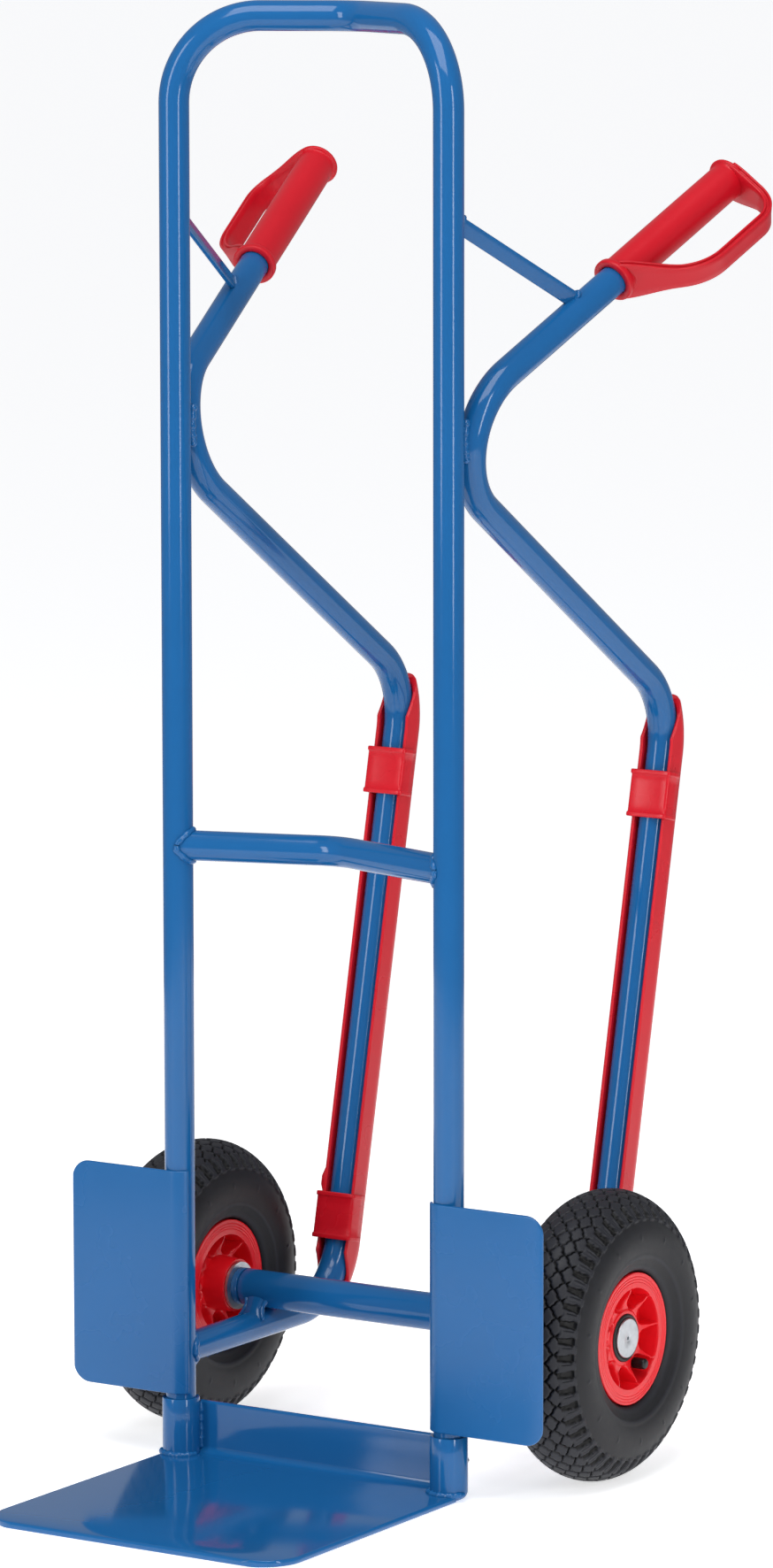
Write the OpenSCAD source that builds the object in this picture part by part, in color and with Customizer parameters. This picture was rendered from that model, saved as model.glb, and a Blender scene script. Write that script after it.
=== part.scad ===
// Two-wheeled hand truck with stair skids: bent tube frame, plug-in toe plate,
// looped handles and two pneumatic wheels. X runs across, the load stands on -Y,
// the wheels are on +Y, and Z = 0 is the floor.

/* [Overall] */
// Height of the top bar's upper edge above the floor
overall_h = 1300; // [1100:10:1500]
// Width over the outer sides of the two uprights
frame_w = 310; // [270:5:380]

/* [Tubes] */
// Outer diameter of the frame tubes
tube_d = 26.9; // [24:0.1:30]
// Wall of the frame tubes
tube_wall = 2.6; // [1.5:0.1:3.5]
// Radius of the two top corners, on the tube's centre line
corner_r = 76; // [50:1:100]
// How far the top bar is bent back at its middle
top_back = 74; // [0:1:90]
// Height of the middle crossbar's centre line
crossbar_z = 556; // [400:5:800]
// How far the crossbar is bent back at its middle
crossbar_back = 45; // [0:1:70]

/* [Side tubes] */
// Bend radius of the side tubes, on the centre line
bend_r = 70; // [50:1:90]
// Height of the forward bend that is welded to the upright
elbow_z = 928; // [860:2:980]
// Slope of the diagonal run below the elbow, in degrees
diagonal_slope = 32.6; // [26:0.2:38]
// Length of the diagonal run between its two bend points
diagonal_l = 489; // [420:1:540]
// Lean of the skid run from upright, in degrees
skid_lean = 12.4; // [6:0.2:20]
// Rise of the handle above level, in degrees
handle_rise = 28.2; // [15:0.2:40]
// How far each handle is turned outward, in degrees
handle_splay = 11.3; // [0:0.1:18]

/* [Toe plate] */
// Depth of the toe plate in front of the uprights
toe_depth = 293; // [200:1:400]
// How far the toe plate stands out beyond each upright's side
toe_side = 0.5; // [0:0.5:30]
// Thickness of the toe plate and its rear flange
toe_t = 6; // [4:0.5:8]
// Radius of the two front corners
toe_corner_r = 38; // [10:1:60]
// Inside radius of the fold between plate and flange
fold_r = 6; // [4:0.5:10]
// Height of the rear flange
flange_h = 53; // [40:1:56]
// Wall of the plug-in sockets
socket_wall = 3.2; // [2.5:0.1:5]
// Height of the sockets
socket_h = 57; // [46:1:60]
// Thickness of a socket's closed foot
socket_foot = 9; // [6:0.5:12]

/* [Wheel guards] */
// Height of a guard plate's lower edge
guard_z = 62; // [61:1:80]
// Height of a guard plate
guard_h = 203; // [150:1:260]
// Distance from the middle plane to a guard's outer edge
guard_reach = 247; // [200:1:270]
// Thickness of a guard plate
guard_t = 3; // [2:0.5:4]
// Radius of a guard's two outer corners
guard_corner_r = 17; // [5:1:30]
// How far a guard wraps inward round the upright, in degrees
guard_wrap = 62; // [20:1:80]

/* [Axle] */
// How far the tyres stand behind the uprights' plane
tyre_back = 6; // [-6:1:30]
// Outer diameter of the axle tube
axle_tube_d = 33.7; // [30:0.1:38]
// Wall of the axle tube
axle_tube_wall = 3.2; // [2:0.1:4]
// Diameter of the solid axle shaft
axle_d = 20; // [16:0.5:22]

/* [Wheels] */
// Outer diameter of the tyre
tyre_d = 260; // [240:1:280]
// Width of the tyre
tyre_w = 85; // [75:1:90]
// Gap between the frame's side and a tyre
wheel_gap = 18; // [10:0.5:40]
// How far the rim's flanges reach up the tyre's round section
flange_rise = 14; // [12:0.5:16]
// Width of the rim's flat flange ring
flange_ring = 15; // [13:0.5:18]
// Width over the rim's two flanges
rim_w = 64; // [58:1:68]
// Number of ribs on each side of the rim
rib_n = 9; // [6:1:14]
// Outer diameter of the wheel bearings
bearing_d = 42; // [38:1:44]
// Width of the wheel bearings
bearing_w = 12; // [8:1:14]

/* [Grips] */
// Length of a grip's sleeve
grip_l = 178; // [150:1:190]
// Wall of a grip's sleeve
grip_wall = 3.35; // [2.4:0.05:6]
// Distance from the grip's axis to the middle of the guard strap
strap_reach = 60; // [52:1:75]
// Width of the guard strap
strap_w = 23; // [16:1:28]
// Thickness of the guard strap
strap_t = 6; // [4:0.5:8]

/* [Skids] */
// Side wall of a skid
skid_wall = 3.2; // [2:0.1:4]
// Thickness of a skid behind the tube
skid_back = 7.5; // [5:0.5:12]
// Height of a skid clip
clip_h = 43; // [30:1:60]
// Wall of a skid clip
clip_t = 2.8; // [2:0.1:4]

/* [Hidden] */
$fn = 64;
weld_gap = 0.2;
slip_gap = 0.2;
rest_gap = 0.3;
run_gap = 0.03;
lap = 0.6;
swell = 0.15;
tube_r = tube_d / 2;
upright_x = (frame_w - tube_d) / 2;
top_z = overall_h - tube_r;
kink_r = 48;
crossbar_kink_r = 72;

// Sockets, their bolts and the toe plate's width
socket_bore_r = tube_r + slip_gap;
socket_r = socket_bore_r + socket_wall;
toe_w = frame_w + 2 * toe_side;
socket_edge_r = 8;
bolt_z = 31;
bolt_r = 4;
bolt_head_af = 13;
bolt_head_h = 5.3;
nut_h = 6.5;

// Axle and wheel hardware
axle_r = axle_d / 2;
axle_z = tyre_d / 2;
axle_back = tyre_d / 2 + tyre_back;
wheel_x = frame_w / 2 + wheel_gap + tyre_w / 2;
axle_tube_r = axle_tube_d / 2;
hub_inner = wheel_x - rim_w / 2 - 12.1;
hub_outer = wheel_x + rim_w / 2 - 7.5;
hub_r = bearing_d / 2 + 4.5;
inner_washer_r = 21.7;
inner_washer_t = 2.6;
end_washer_r = 18;
end_washer_t = 2.8;
end_screw_r = 4;
end_screw_head_r = 7.5;
end_screw_l = 22;
bush_l = 26;
collar_l = 8;
axle_tube_half = hub_inner - rest_gap - inner_washer_t - collar_l;
washer_x = axle_tube_half + collar_l;
flange_t = 4;
barrel_wall = 4;
rim_r = tyre_d / 2 - tyre_w + flange_rise;
bowl_r = rim_r - flange_ring;
barrel_r = bowl_r + barrel_wall;
tyre_wall = 5;
valve_angle = 37;
valve_bend_r = bowl_r - 11;
valve_r = 3;
valve_tip = 34.5;

// Side tube nodes for the right side, from the low weld to the handle's end
arm_z = axle_z - axle_tube_r - tube_r - weld_gap;
handle_l = 443;
handle_dir = [sin(handle_splay) * cos(handle_rise), cos(handle_splay) * cos(handle_rise), sin(handle_rise)];
diagonal_dir = [0, cos(diagonal_slope), -sin(diagonal_slope)];
run_dir = [0, -sin(skid_lean), -cos(skid_lean)];
elbow_inward = unit(handle_dir + diagonal_dir);
elbow_normal = unit(cross(handle_dir, diagonal_dir));
elbow_half = acos(handle_dir * diagonal_dir) / 2;
elbow_front = bend_r * sqrt(1 - elbow_normal.y * elbow_normal.y);
elbow_y = tube_d + weld_gap + elbow_front - bend_r / sin(elbow_half) * elbow_inward.y;
elbow = [upright_x, elbow_y, elbow_z];
skid_top = elbow + diagonal_dir * diagonal_l;
run_l = (skid_top.z - arm_z) / cos(skid_lean);
skid_foot = skid_top + run_dir * run_l;
handle_end = elbow + handle_dir * handle_l;
side_nodes = [[upright_x, 0, arm_z], skid_foot, skid_top, elbow, handle_end];

// Handle brace between the upright and the handle
brace_w = 14.5;
brace_t = 4.5;
brace_tilt = 26;
brace_z = 1120;
brace_at = 228;

// Grip: distances along the handle from the elbow
grip_start = handle_l + 5 - grip_l;
grip_bore_r = tube_r + slip_gap;
grip_r = grip_bore_r + grip_wall;
grip_tilt = 18.7;
collar_w = 6;
collar_r = grip_r + 3;
strap_low = grip_start + 6;
strap_knee = grip_start + 57;
strap_top = grip_start + grip_l - 12;
strap_end = grip_start + grip_l - 2;
strap_bend_low = 58;
strap_bend_top = 30;

// Skids and clips: distances along the skid run from its lower bend point
skid_in = tube_r + swell + rest_gap;
skid_out = skid_in + skid_wall;
skid_front = 11;
skid_low_angle = 34;
skid_low_slant = 20;
skid_top_angle = 36;
skid_top_slant = 24;
skid_rear = [0, cos(skid_lean), -sin(skid_lean)];
clip_in = skid_out + rest_gap;
clip_out = clip_in + clip_t;
clip_low_at = 77;
clip_high_at = run_l - 88;
pad_l = 19.5;
pad_t = 3;

function unit(v) = v / norm(v);
function turn_of(a, n, b) = acos(unit(n - a) * unit(b - n));
function setback(a, n, b, r) = r * tan(turn_of(a, n, b) / 2);

// Puts its child at "at" with Z along z and X as near to "side" as it can be
module place(at, z, side) {
    x = unit(side - z * (side * z));
    y = cross(z, x);
    multmatrix([
        [x.x, y.x, z.x, at.x],
        [x.y, y.y, z.y, at.y],
        [x.z, y.z, z.z, at.z],
        [0, 0, 0, 1]
    ])
        children();
}

// Draws its 2D child along a straight line from a to b, with X on "side"
module run(a, b, side) {
    place(a, unit(b - a), side) linear_extrude(norm(b - a)) children();
}

// Turns its 2D child round the bend at node n between a and b, with the child's
// X axis pointing away from the bend's centre; "part" is the share that is drawn
module bend(a, n, b, r, part = 1) {
    d = unit(n - a);
    axis = unit(cross(d, unit(b - n)));
    inward = cross(axis, d);
    centre = n - d * setback(a, n, b, r) + inward * r;
    place(centre, axis, -inward)
        rotate_extrude(angle = turn_of(a, n, b) * part) translate([r, 0]) children();
}

// Wall of a frame tube; a bend is a hair thicker, so each straight laps into it cleanly
module tube_wall_section(swell = 0) {
    difference() {
        circle(tube_r + swell);
        circle(tube_r - tube_wall - swell);
    }
}

// A bent tube along nodes p with bend radii r, one radius for each inner node
module bent_tube(p, r) {
    last = len(p) - 1;
    for (i = [0 : last - 1]) {
        d = unit(p[i + 1] - p[i]);
        cut_a = i == 0 ? 0 : setback(p[i - 1], p[i], p[i + 1], r[i - 1]) - lap;
        cut_b = i == last - 1 ? 0 : setback(p[i], p[i + 1], p[i + 2], r[i]) - lap;
        run(p[i] + d * cut_a, p[i + 1] - d * cut_b, abs(d.x) < 0.9 ? [1, 0, 0] : [0, 0, 1])
            tube_wall_section();
    }
    for (i = [1 : last - 1])
        bend(p[i - 1], p[i], p[i + 1], r[i - 1]) tube_wall_section(swell);
}

// A cylinder along X from x1 to x2 on the axle's line
module on_axle(x1, x2, radius) {
    translate([x1, axle_back, axle_z]) rotate([0, 90, 0]) cylinder(h = x2 - x1, r = radius);
}

// What the weld seams leave free round each upright
module upright_room(z1, z2) {
    for (side = [-1, 1])
        translate([side * upright_x, 0, z1]) cylinder(h = z2 - z1, r = tube_r + weld_gap);
}

// Puts a right-hand piece on the right, or its mirror image on the left
module on_side(side) {
    if (side > 0) children();
    else mirror([1, 0, 0]) children();
}

module main_hoop() {
    color("#1F66A8")
        difference() {
            bent_tube(
                [
                    [-upright_x, 0, socket_foot], [-upright_x, 0, top_z], [0, top_back, top_z],
                    [upright_x, 0, top_z], [upright_x, 0, socket_foot]
                ],
                [corner_r, kink_r, corner_r]
            );
            bolt_holes(bolt_r + slip_gap);
        }
}

module bolt_holes(radius) {
    for (side = [-1, 1])
        translate([side * upright_x, 0, bolt_z]) rotate([-90, 0, 0]) cylinder(h = 2 * tube_r, r = radius);
}

module middle_crossbar() {
    color("#1F66A8")
        difference() {
            bent_tube(
                [[-upright_x, 0, crossbar_z], [0, crossbar_back, crossbar_z], [upright_x, 0, crossbar_z]],
                [crossbar_kink_r]
            );
            upright_room(crossbar_z - tube_d, crossbar_z + tube_d);
        }
}

module side_tube() {
    color("#1F66A8")
        difference() {
            bent_tube(side_nodes, [bend_r, bend_r, bend_r]);
            upright_room(arm_z - tube_d, arm_z + tube_d);
        }
}

module axle_tube() {
    color("#1F66A8")
        difference() {
            on_axle(-axle_tube_half, axle_tube_half, axle_tube_r);
            on_axle(-axle_tube_half - 1, axle_tube_half + 1, axle_tube_r - axle_tube_wall);
        }
}

// Saddle plate that fills the corner between the arm's top and the axle tube's front
module axle_gusset() {
    plate_w = 25;
    reach = 6;
    arm_top = arm_z + tube_r;
    front = axle_back - axle_tube_r;
    color("#1F66A8")
        difference() {
            translate([upright_x - plate_w / 2, 0, 0])
                rotate([90, 0, 90])
                linear_extrude(plate_w)
                polygon([
                    [front - reach, arm_top - 5], [axle_back, arm_top - 5],
                    [axle_back, axle_z], [front + 1, axle_z - 3], [front - reach, arm_top]
                ]);
            on_axle(upright_x - plate_w, upright_x + plate_w, axle_tube_r + weld_gap);
            run(side_nodes[0], side_nodes[1], [1, 0, 0]) circle(tube_r + weld_gap);
        }
}

module handle_brace() {
    foot = [upright_x, 0, brace_z];
    head = elbow + handle_dir * brace_at;
    color("#1F66A8")
        difference() {
            run(foot, head, [cos(brace_tilt), 0, -sin(brace_tilt)])
                square([brace_t, brace_w], center = true);
            upright_room(brace_z - brace_w * 2, brace_z + brace_w * 2);
            run(head - handle_dir * brace_w * 2, head + handle_dir * brace_w * 2, [1, 0, 0])
                circle(tube_r + weld_gap);
        }
}

// A flat sheet in front of the wheel whose inner margin is rolled round the upright
module wheel_guard() {
    inner = tube_r + weld_gap;
    outer = inner + guard_t;
    color("#2C6CAE")
        intersection() {
            translate([0, 0, guard_z])
                linear_extrude(guard_h) {
                    translate([upright_x, -outer]) square([guard_reach - upright_x, guard_t]);
                    translate([upright_x, 0])
                        intersection() {
                            difference() {
                                circle(outer);
                                circle(inner);
                            }
                            polygon([
                                [0, 0], [0, -2 * outer],
                                [-2 * outer * tan(guard_wrap / 2), -2 * outer],
                                [-2 * outer * sin(guard_wrap), -2 * outer * cos(guard_wrap)]
                            ]);
                        }
                }
            translate([0, tube_d, guard_z])
                rotate([90, 0, 0])
                linear_extrude(2 * tube_d) guard_outline();
        }
}

module guard_outline() {
    square([guard_reach - guard_corner_r, guard_h]);
    translate([0, guard_corner_r]) square([guard_reach, guard_h - 2 * guard_corner_r]);
    for (z = [guard_corner_r, guard_h - guard_corner_r])
        translate([guard_reach - guard_corner_r, z]) circle(guard_corner_r);
}

// Toe plate: one sheet, folded up at the back between the sockets
module toe_plate() {
    back = socket_r;
    fold_y = back - toe_t - fold_r;
    side_end = -socket_r * 0.55;
    color("#1F66A8")
        difference() {
            union() {
                linear_extrude(toe_t) toe_outline(side_end);
                translate([-upright_x, side_end, 0]) cube([2 * upright_x, fold_y - side_end, toe_t]);
                translate([-upright_x, fold_y, toe_t + fold_r])
                    rotate([0, 90, 0])
                    linear_extrude(2 * upright_x)
                    intersection() {
                        difference() {
                            circle(fold_r + toe_t);
                            circle(fold_r);
                        }
                        square(fold_r + toe_t);
                    }
                translate([-upright_x, back - toe_t, toe_t + fold_r])
                    cube([2 * upright_x, toe_t, flange_h - toe_t - fold_r]);
            }
            for (side = [-1, 1]) {
                translate([side * upright_x, 0, -1]) cylinder(h = socket_h, r = socket_r + weld_gap);
                translate([side * upright_x - socket_r / 2, 0, -1]) cube([socket_r, 2 * socket_r, socket_h]);
            }
        }
}

module toe_outline(side_end) {
    edge = toe_w / 2 - toe_corner_r;
    translate([-edge, -toe_depth]) square([2 * edge, toe_depth + side_end]);
    translate([-toe_w / 2, -toe_depth + toe_corner_r])
        square([toe_w, toe_depth - toe_corner_r + side_end]);
    for (side = [-1, 1])
        translate([side * edge, -toe_depth + toe_corner_r]) circle(toe_corner_r);
}

// Socket tube with a closed foot whose outer edge is rounded
module toe_socket() {
    color("#1F66A8")
        difference() {
            translate([upright_x, 0, 0])
                rotate_extrude() {
                    square([socket_r - socket_edge_r, socket_h]);
                    translate([0, socket_edge_r]) square([socket_r, socket_h - socket_edge_r]);
                    intersection() {
                        translate([socket_r - socket_edge_r, socket_edge_r]) circle(socket_edge_r);
                        square(socket_r);
                    }
                }
            translate([upright_x, 0, socket_foot]) cylinder(h = socket_h, r = socket_bore_r);
            bolt_holes(bolt_r + slip_gap);
        }
}

module socket_bolts() {
    nut_back = tube_r - tube_wall - nut_h;
    color("#B9BBBE")
        for (side = [-1, 1])
            translate([side * upright_x, nut_back, bolt_z])
                rotate([-90, 0, 0]) {
                    cylinder(h = socket_r - nut_back, r = bolt_r);
                    translate([0, 0, socket_r - nut_back])
                        cylinder(h = bolt_head_h, r = bolt_head_af / sqrt(3), $fn = 6);
                }
}

module socket_nuts() {
    nut_back = tube_r - tube_wall - nut_h;
    color("#B9BBBE")
        for (side = [-1, 1])
            translate([side * upright_x, nut_back - 2, bolt_z])
                rotate([-90, 0, 0])
                difference() {
                    cylinder(h = nut_h - 1, r = bolt_head_af / sqrt(3), $fn = 6);
                    translate([0, 0, -1]) cylinder(h = nut_h + 1, r = bolt_r + run_gap);
                }
}

// Solid axle with a threaded hole in each end
module axle_shaft() {
    color("#B9BBBE")
        difference() {
            on_axle(-hub_outer, hub_outer, axle_r);
            for (side = [0, 1])
                mirror([side, 0, 0]) on_axle(hub_outer - end_screw_l, hub_outer + 1, end_screw_r + run_gap);
        }
}

// Reducing bush: a spigot inside the axle tube and a grooved collar outside it
module axle_bush() {
    color("#1F66A8")
        difference() {
            union() {
                on_axle(axle_tube_half - bush_l, axle_tube_half, axle_tube_r - axle_tube_wall - slip_gap);
                on_axle(axle_tube_half, axle_tube_half + 2, axle_tube_r - 2.4);
                on_axle(axle_tube_half + 2, washer_x, axle_tube_r);
            }
            on_axle(axle_tube_half - bush_l - 1, washer_x + 1, axle_r + run_gap);
        }
}

module inner_washer() {
    color("#B9BBBE")
        difference() {
            on_axle(washer_x, washer_x + inner_washer_t, inner_washer_r);
            on_axle(washer_x - 1, washer_x + inner_washer_t + 1, axle_r + slip_gap);
        }
}

module end_washer() {
    start = hub_outer + rest_gap;
    color("#C6C8CA")
        difference() {
            on_axle(start, start + end_washer_t, end_washer_r);
            end_screw_body(end_screw_r + slip_gap, end_screw_head_r + slip_gap);
        }
}

// Countersunk screw body: shank, cone and a short rim at the washer's face
module end_screw_body(shank, head) {
    face = hub_outer + rest_gap + end_washer_t;
    cone = end_washer_t - 0.6;
    on_axle(hub_outer - end_screw_l + 2, face - cone, shank);
    translate([face - cone - 0.001, axle_back, axle_z])
        rotate([0, 90, 0]) cylinder(h = cone - 0.6, r1 = shank, r2 = head);
    on_axle(face - 0.61, face, head);
}

module end_screw() {
    face = hub_outer + rest_gap + end_washer_t;
    color("#C6C8CA")
        difference() {
            end_screw_body(end_screw_r, end_screw_head_r);
            translate([face - 2, axle_back, axle_z]) rotate([0, 90, 0]) cylinder(h = 3, r = 2.9, $fn = 6);
        }
}

// Turns its 2D child, drawn as [radius, distance from the wheel's middle], about the axle
module wheel_turned() {
    translate([wheel_x, axle_back, axle_z]) rotate([0, 90, 0]) rotate_extrude() children();
}

module tyre() {
    centre = tyre_d / 2 - tyre_w / 2;
    bead_out = rim_w / 2 - flange_t - rest_gap;
    color("#26272A")
        wheel_turned() {
            difference() {
                translate([centre, 0]) circle(tyre_w / 2);
                translate([centre, 0]) circle(tyre_w / 2 - tyre_wall);
                translate([0, -tyre_w]) square([rim_r + rest_gap, 2 * tyre_w]);
            }
            for (side = [-1, 1])
                difference() {
                    translate([barrel_r + rest_gap, side * (bead_out - 3.5) - 3.5])
                        square([rim_r + 2 - barrel_r, 7]);
                    translate([centre, 0]) circle(tyre_w / 2 - tyre_wall);
                }
        }
}

module inner_tube() {
    centre = tyre_d / 2 - tyre_w / 2;
    skin_r = tyre_w / 2 - tyre_wall - rest_gap;
    color("#1C1C1E")
        wheel_turned()
            difference() {
                translate([centre, 0]) circle(skin_r);
                translate([centre, 0]) circle(skin_r - 2);
            }
}

// One-piece moulded rim: barrel, two flanges, web, hub and ribs on both sides
module rim() {
    web_t = 5;
    rib_t = 3;
    inner_face = hub_inner - wheel_x;
    outer_face = hub_outer - wheel_x;
    rib_depth = rim_w / 2 - 5;
    color("#D9202F")
        difference() {
            union() {
                wheel_turned() {
                    translate([bowl_r, -rim_w / 2]) square([barrel_wall, rim_w]);
                    for (side = [-1, 1])
                        translate([bowl_r, side * (rim_w - flange_t) / 2 - flange_t / 2])
                            square([rim_r - bowl_r, flange_t]);
                    translate([hub_r - 1, -web_t / 2]) square([bowl_r - hub_r + 2, web_t]);
                    translate([0, inner_face]) square([hub_r, outer_face - inner_face]);
                }
                translate([wheel_x, axle_back, axle_z])
                    for (i = [0 : rib_n - 1])
                        rotate([(i + 0.5) * 360 / rib_n + 180 + valve_angle, 0, 0])
                            translate([-rib_depth, -rib_t / 2, hub_r - 1])
                            cube([2 * rib_depth, rib_t, bowl_r - hub_r + 2]);
            }
            on_axle(hub_inner - 1, hub_outer + 1, axle_r + 5);
            on_axle(hub_inner - 1, hub_inner + bearing_w, bearing_d / 2 + run_gap);
            on_axle(hub_outer - bearing_w, hub_outer + 1, bearing_d / 2 + run_gap);
            valve_hole();
        }
}

// Everything on the valve's line: a stem out of the barrel that turns to the outside
module valve_place() {
    translate([wheel_x, axle_back, axle_z]) rotate([valve_angle, 0, 0]) children();
}

module valve_hole() {
    valve_place() translate([12, 0, -barrel_r - 2]) cylinder(h = 8, r = valve_r + slip_gap);
}

module valve_stem() {
    color("#B08A3E")
        valve_place() {
            translate([12, 0, -barrel_r - 1]) cylinder(h = barrel_r + 1 - valve_bend_r, r = valve_r);
            translate([12 - valve_r, 0, -valve_bend_r]) rotate([0, 90, 0]) cylinder(h = 18, r = valve_r);
        }
}

module valve_cap() {
    color("#141416")
        valve_place()
            translate([0, 0, -valve_bend_r])
            rotate([0, 90, 0])
            difference() {
                translate([0, 0, 21]) cylinder(h = valve_tip - 21, r = 5);
                translate([0, 0, 20]) cylinder(h = 8, r = valve_r + run_gap);
            }
}

module bearing(x) {
    color("#3A3B3E")
        difference() {
            on_axle(x, x + bearing_w, bearing_d / 2);
            on_axle(x - 1, x + bearing_w + 1, axle_r + run_gap);
        }
}

module hub_spacer() {
    color("#B9BBBE")
        difference() {
            on_axle(hub_inner + bearing_w, hub_outer - bearing_w, axle_r + 3.5);
            on_axle(hub_inner, hub_outer, axle_r + 0.5);
        }
}

// Puts its child on the handle, with Z along the tube and X on the guard's side
module on_handle() {
    z = handle_dir;
    out = unit([1, 0, 0] - z * z.x);
    down = cross(out, z);
    x = out * cos(grip_tilt) - down * (down.z > 0 ? 1 : -1) * sin(grip_tilt);
    y = cross(z, x);
    multmatrix([
        [x.x, y.x, z.x, elbow.x],
        [x.y, y.y, z.y, elbow.y],
        [x.z, y.z, z.z, elbow.z],
        [0, 0, 0, 1]
    ])
        children();
}

// Grip: sleeve with a collar at each end, closed at the top, and a strap that
// leaves the lower collar, runs beside the hand and returns to the upper collar
module grip() {
    top = grip_start + grip_l;
    knots = [
        [grip_r / 2, 0, strap_low], [strap_reach, 0, strap_knee],
        [strap_reach, 0, strap_top], [grip_r / 2, 0, strap_end]
    ];
    bends = [strap_bend_low, strap_bend_top];
    color("#C81C2D")
        on_handle()
            difference() {
                union() {
                    translate([0, 0, grip_start]) cylinder(h = grip_l, r = grip_r);
                    translate([0, 0, grip_start]) cylinder(h = collar_w, r = collar_r);
                    translate([0, 0, top - collar_w]) cylinder(h = collar_w, r = collar_r);
                    for (i = [0 : 2]) {
                        d = unit(knots[i + 1] - knots[i]);
                        cut_a = i == 0 ? 0 : setback(knots[i - 1], knots[i], knots[i + 1], bends[i - 1]) - lap;
                        cut_b = i == 2 ? 0 : setback(knots[i], knots[i + 1], knots[i + 2], bends[i]) - lap;
                        run(knots[i] + d * cut_a, knots[i + 1] - d * cut_b, [0, 1, 0])
                            square([strap_w, strap_t], center = true);
                    }
                    for (i = [1 : 2])
                        bend(knots[i - 1], knots[i], knots[i + 1], bends[i - 1])
                            square([strap_t + 2 * swell, strap_w + 2 * swell], center = true);
                }
                translate([0, 0, grip_start - 1])
                    cylinder(h = handle_l + 1 - grip_start + slip_gap, r = grip_bore_r);
            }
}

// Section of a skid, with X pointing back from the tube's centre
module skid_section(swell = 0) {
    back_shift = skid_back - skid_wall;
    outer = skid_out + swell;
    inner = skid_in - swell;
    difference() {
        union() {
            translate([back_shift, 0]) circle(outer);
            translate([-skid_front - swell, -outer]) square([skid_front + swell + back_shift, 2 * outer]);
        }
        circle(inner);
        translate([-2 * skid_front, -inner]) square([2 * skid_front, 2 * inner]);
    }
}

// Skid: a channel behind the skid run that follows the first part of both bends
module skid() {
    low = [skid_top, skid_foot, side_nodes[0]];
    high = [skid_foot, skid_top, elbow];
    start = skid_foot - run_dir * (setback(low[0], low[1], low[2], bend_r) - lap);
    end = skid_top + run_dir * (setback(high[0], high[1], high[2], bend_r) - lap);
    color("#D2222F")
        difference() {
            union() {
                run(start, end, skid_rear) skid_section();
                bend(high[0], high[1], high[2], bend_r, skid_top_angle / turn_of(high[0], high[1], high[2]))
                    skid_section(swell);
                bend(low[0], low[1], low[2], bend_r, skid_low_angle / turn_of(low[0], low[1], low[2]))
                    skid_section(swell);
                skid_pad();
            }
            skid_end_cut(high, skid_top_angle, skid_top_slant);
            skid_end_cut(low, skid_low_angle, skid_low_slant);
        }
}

// Point on the bend at p[1], so many degrees round it and so far from its centre
function bend_point(p, angle, radius) =
    let (
        d = unit(p[1] - p[0]),
        inward = cross(unit(cross(d, unit(p[2] - p[1]))), d),
        centre = p[1] - d * setback(p[0], p[1], p[2], bend_r) + inward * bend_r
    )
    centre + (d * sin(angle) - inward * cos(angle)) * radius;

// Slants a skid's end, so that its side walls stop before its back does
module skid_end_cut(p, angle, slant) {
    rear = bend_point(p, angle, bend_r + skid_in + skid_back);
    front = bend_point(p, angle - slant, bend_r - skid_front);
    place(front + (front - rear), unit(rear - front), p[1] - p[0])
        linear_extrude(4 * norm(rear - front))
        translate([0, -2 * skid_out]) square(4 * skid_out);
}

// Shoulder on the outer wall that keeps the lower clip from creeping up
module skid_pad() {
    from = skid_foot - run_dir * (clip_low_at + clip_h / 2 + rest_gap);
    run(from, from - run_dir * pad_l, skid_rear)
        translate([-skid_front, -skid_out - pad_t]) square([skid_front, pad_t + skid_wall / 2]);
}

// C-shaped clip that closes the skid's open front; the tube lies inside it
module skid_clip(at) {
    rim_h = 4;
    color("#D2222F")
        place(skid_foot - run_dir * at, -run_dir, skid_rear) {
            translate([0, 0, -clip_h / 2]) linear_extrude(clip_h) clip_section(0);
            for (z = [-clip_h / 2, clip_h / 2 - rim_h])
                translate([0, 0, z]) linear_extrude(rim_h) clip_section(0.8);
        }
}

module clip_section(extra) {
    corner = 2.5;
    front = tube_r + rest_gap + clip_t + extra;
    wide = clip_out + extra;
    hook = 3;
    difference() {
        union() {
            translate([-front + corner, -wide]) square([front - corner + hook, 2 * wide]);
            translate([-front, -wide + corner]) square([corner, 2 * (wide - corner)]);
            for (side = [-1, 1])
                translate([-front + corner, side * (wide - corner)]) circle(corner);
        }
        translate([-tube_r - rest_gap, -clip_in]) square([tube_d + skid_front, 2 * clip_in]);
    }
}

main_hoop();
middle_crossbar();
on_side(-1) side_tube();  // side_tube_left
on_side(1) side_tube();  // side_tube_right
axle_tube();
on_side(-1) axle_gusset();  // axle_gusset_left
on_side(1) axle_gusset();  // axle_gusset_right
on_side(-1) handle_brace();  // handle_brace_left
on_side(1) handle_brace();  // handle_brace_right
on_side(-1) wheel_guard();  // wheel_guard_left
on_side(1) wheel_guard();  // wheel_guard_right
toe_plate();
on_side(-1) toe_socket();  // toe_socket_left
on_side(1) toe_socket();  // toe_socket_right
socket_bolts();
socket_nuts();
axle_shaft();
on_side(-1) axle_bush();  // axle_bush_left
on_side(1) axle_bush();  // axle_bush_right
on_side(-1) inner_washer();  // inner_washer_left
on_side(1) inner_washer();  // inner_washer_right
on_side(-1) end_washer();  // end_washer_left
on_side(1) end_washer();  // end_washer_right
on_side(-1) end_screw();  // end_screw_left
on_side(1) end_screw();  // end_screw_right
on_side(-1) tyre();  // tyre_left
on_side(1) tyre();  // tyre_right
on_side(-1) inner_tube();  // inner_tube_left
on_side(1) inner_tube();  // inner_tube_right
on_side(-1) rim();  // rim_left
on_side(1) rim();  // rim_right
on_side(-1) bearing(hub_inner);  // inner_bearing_left
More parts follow.
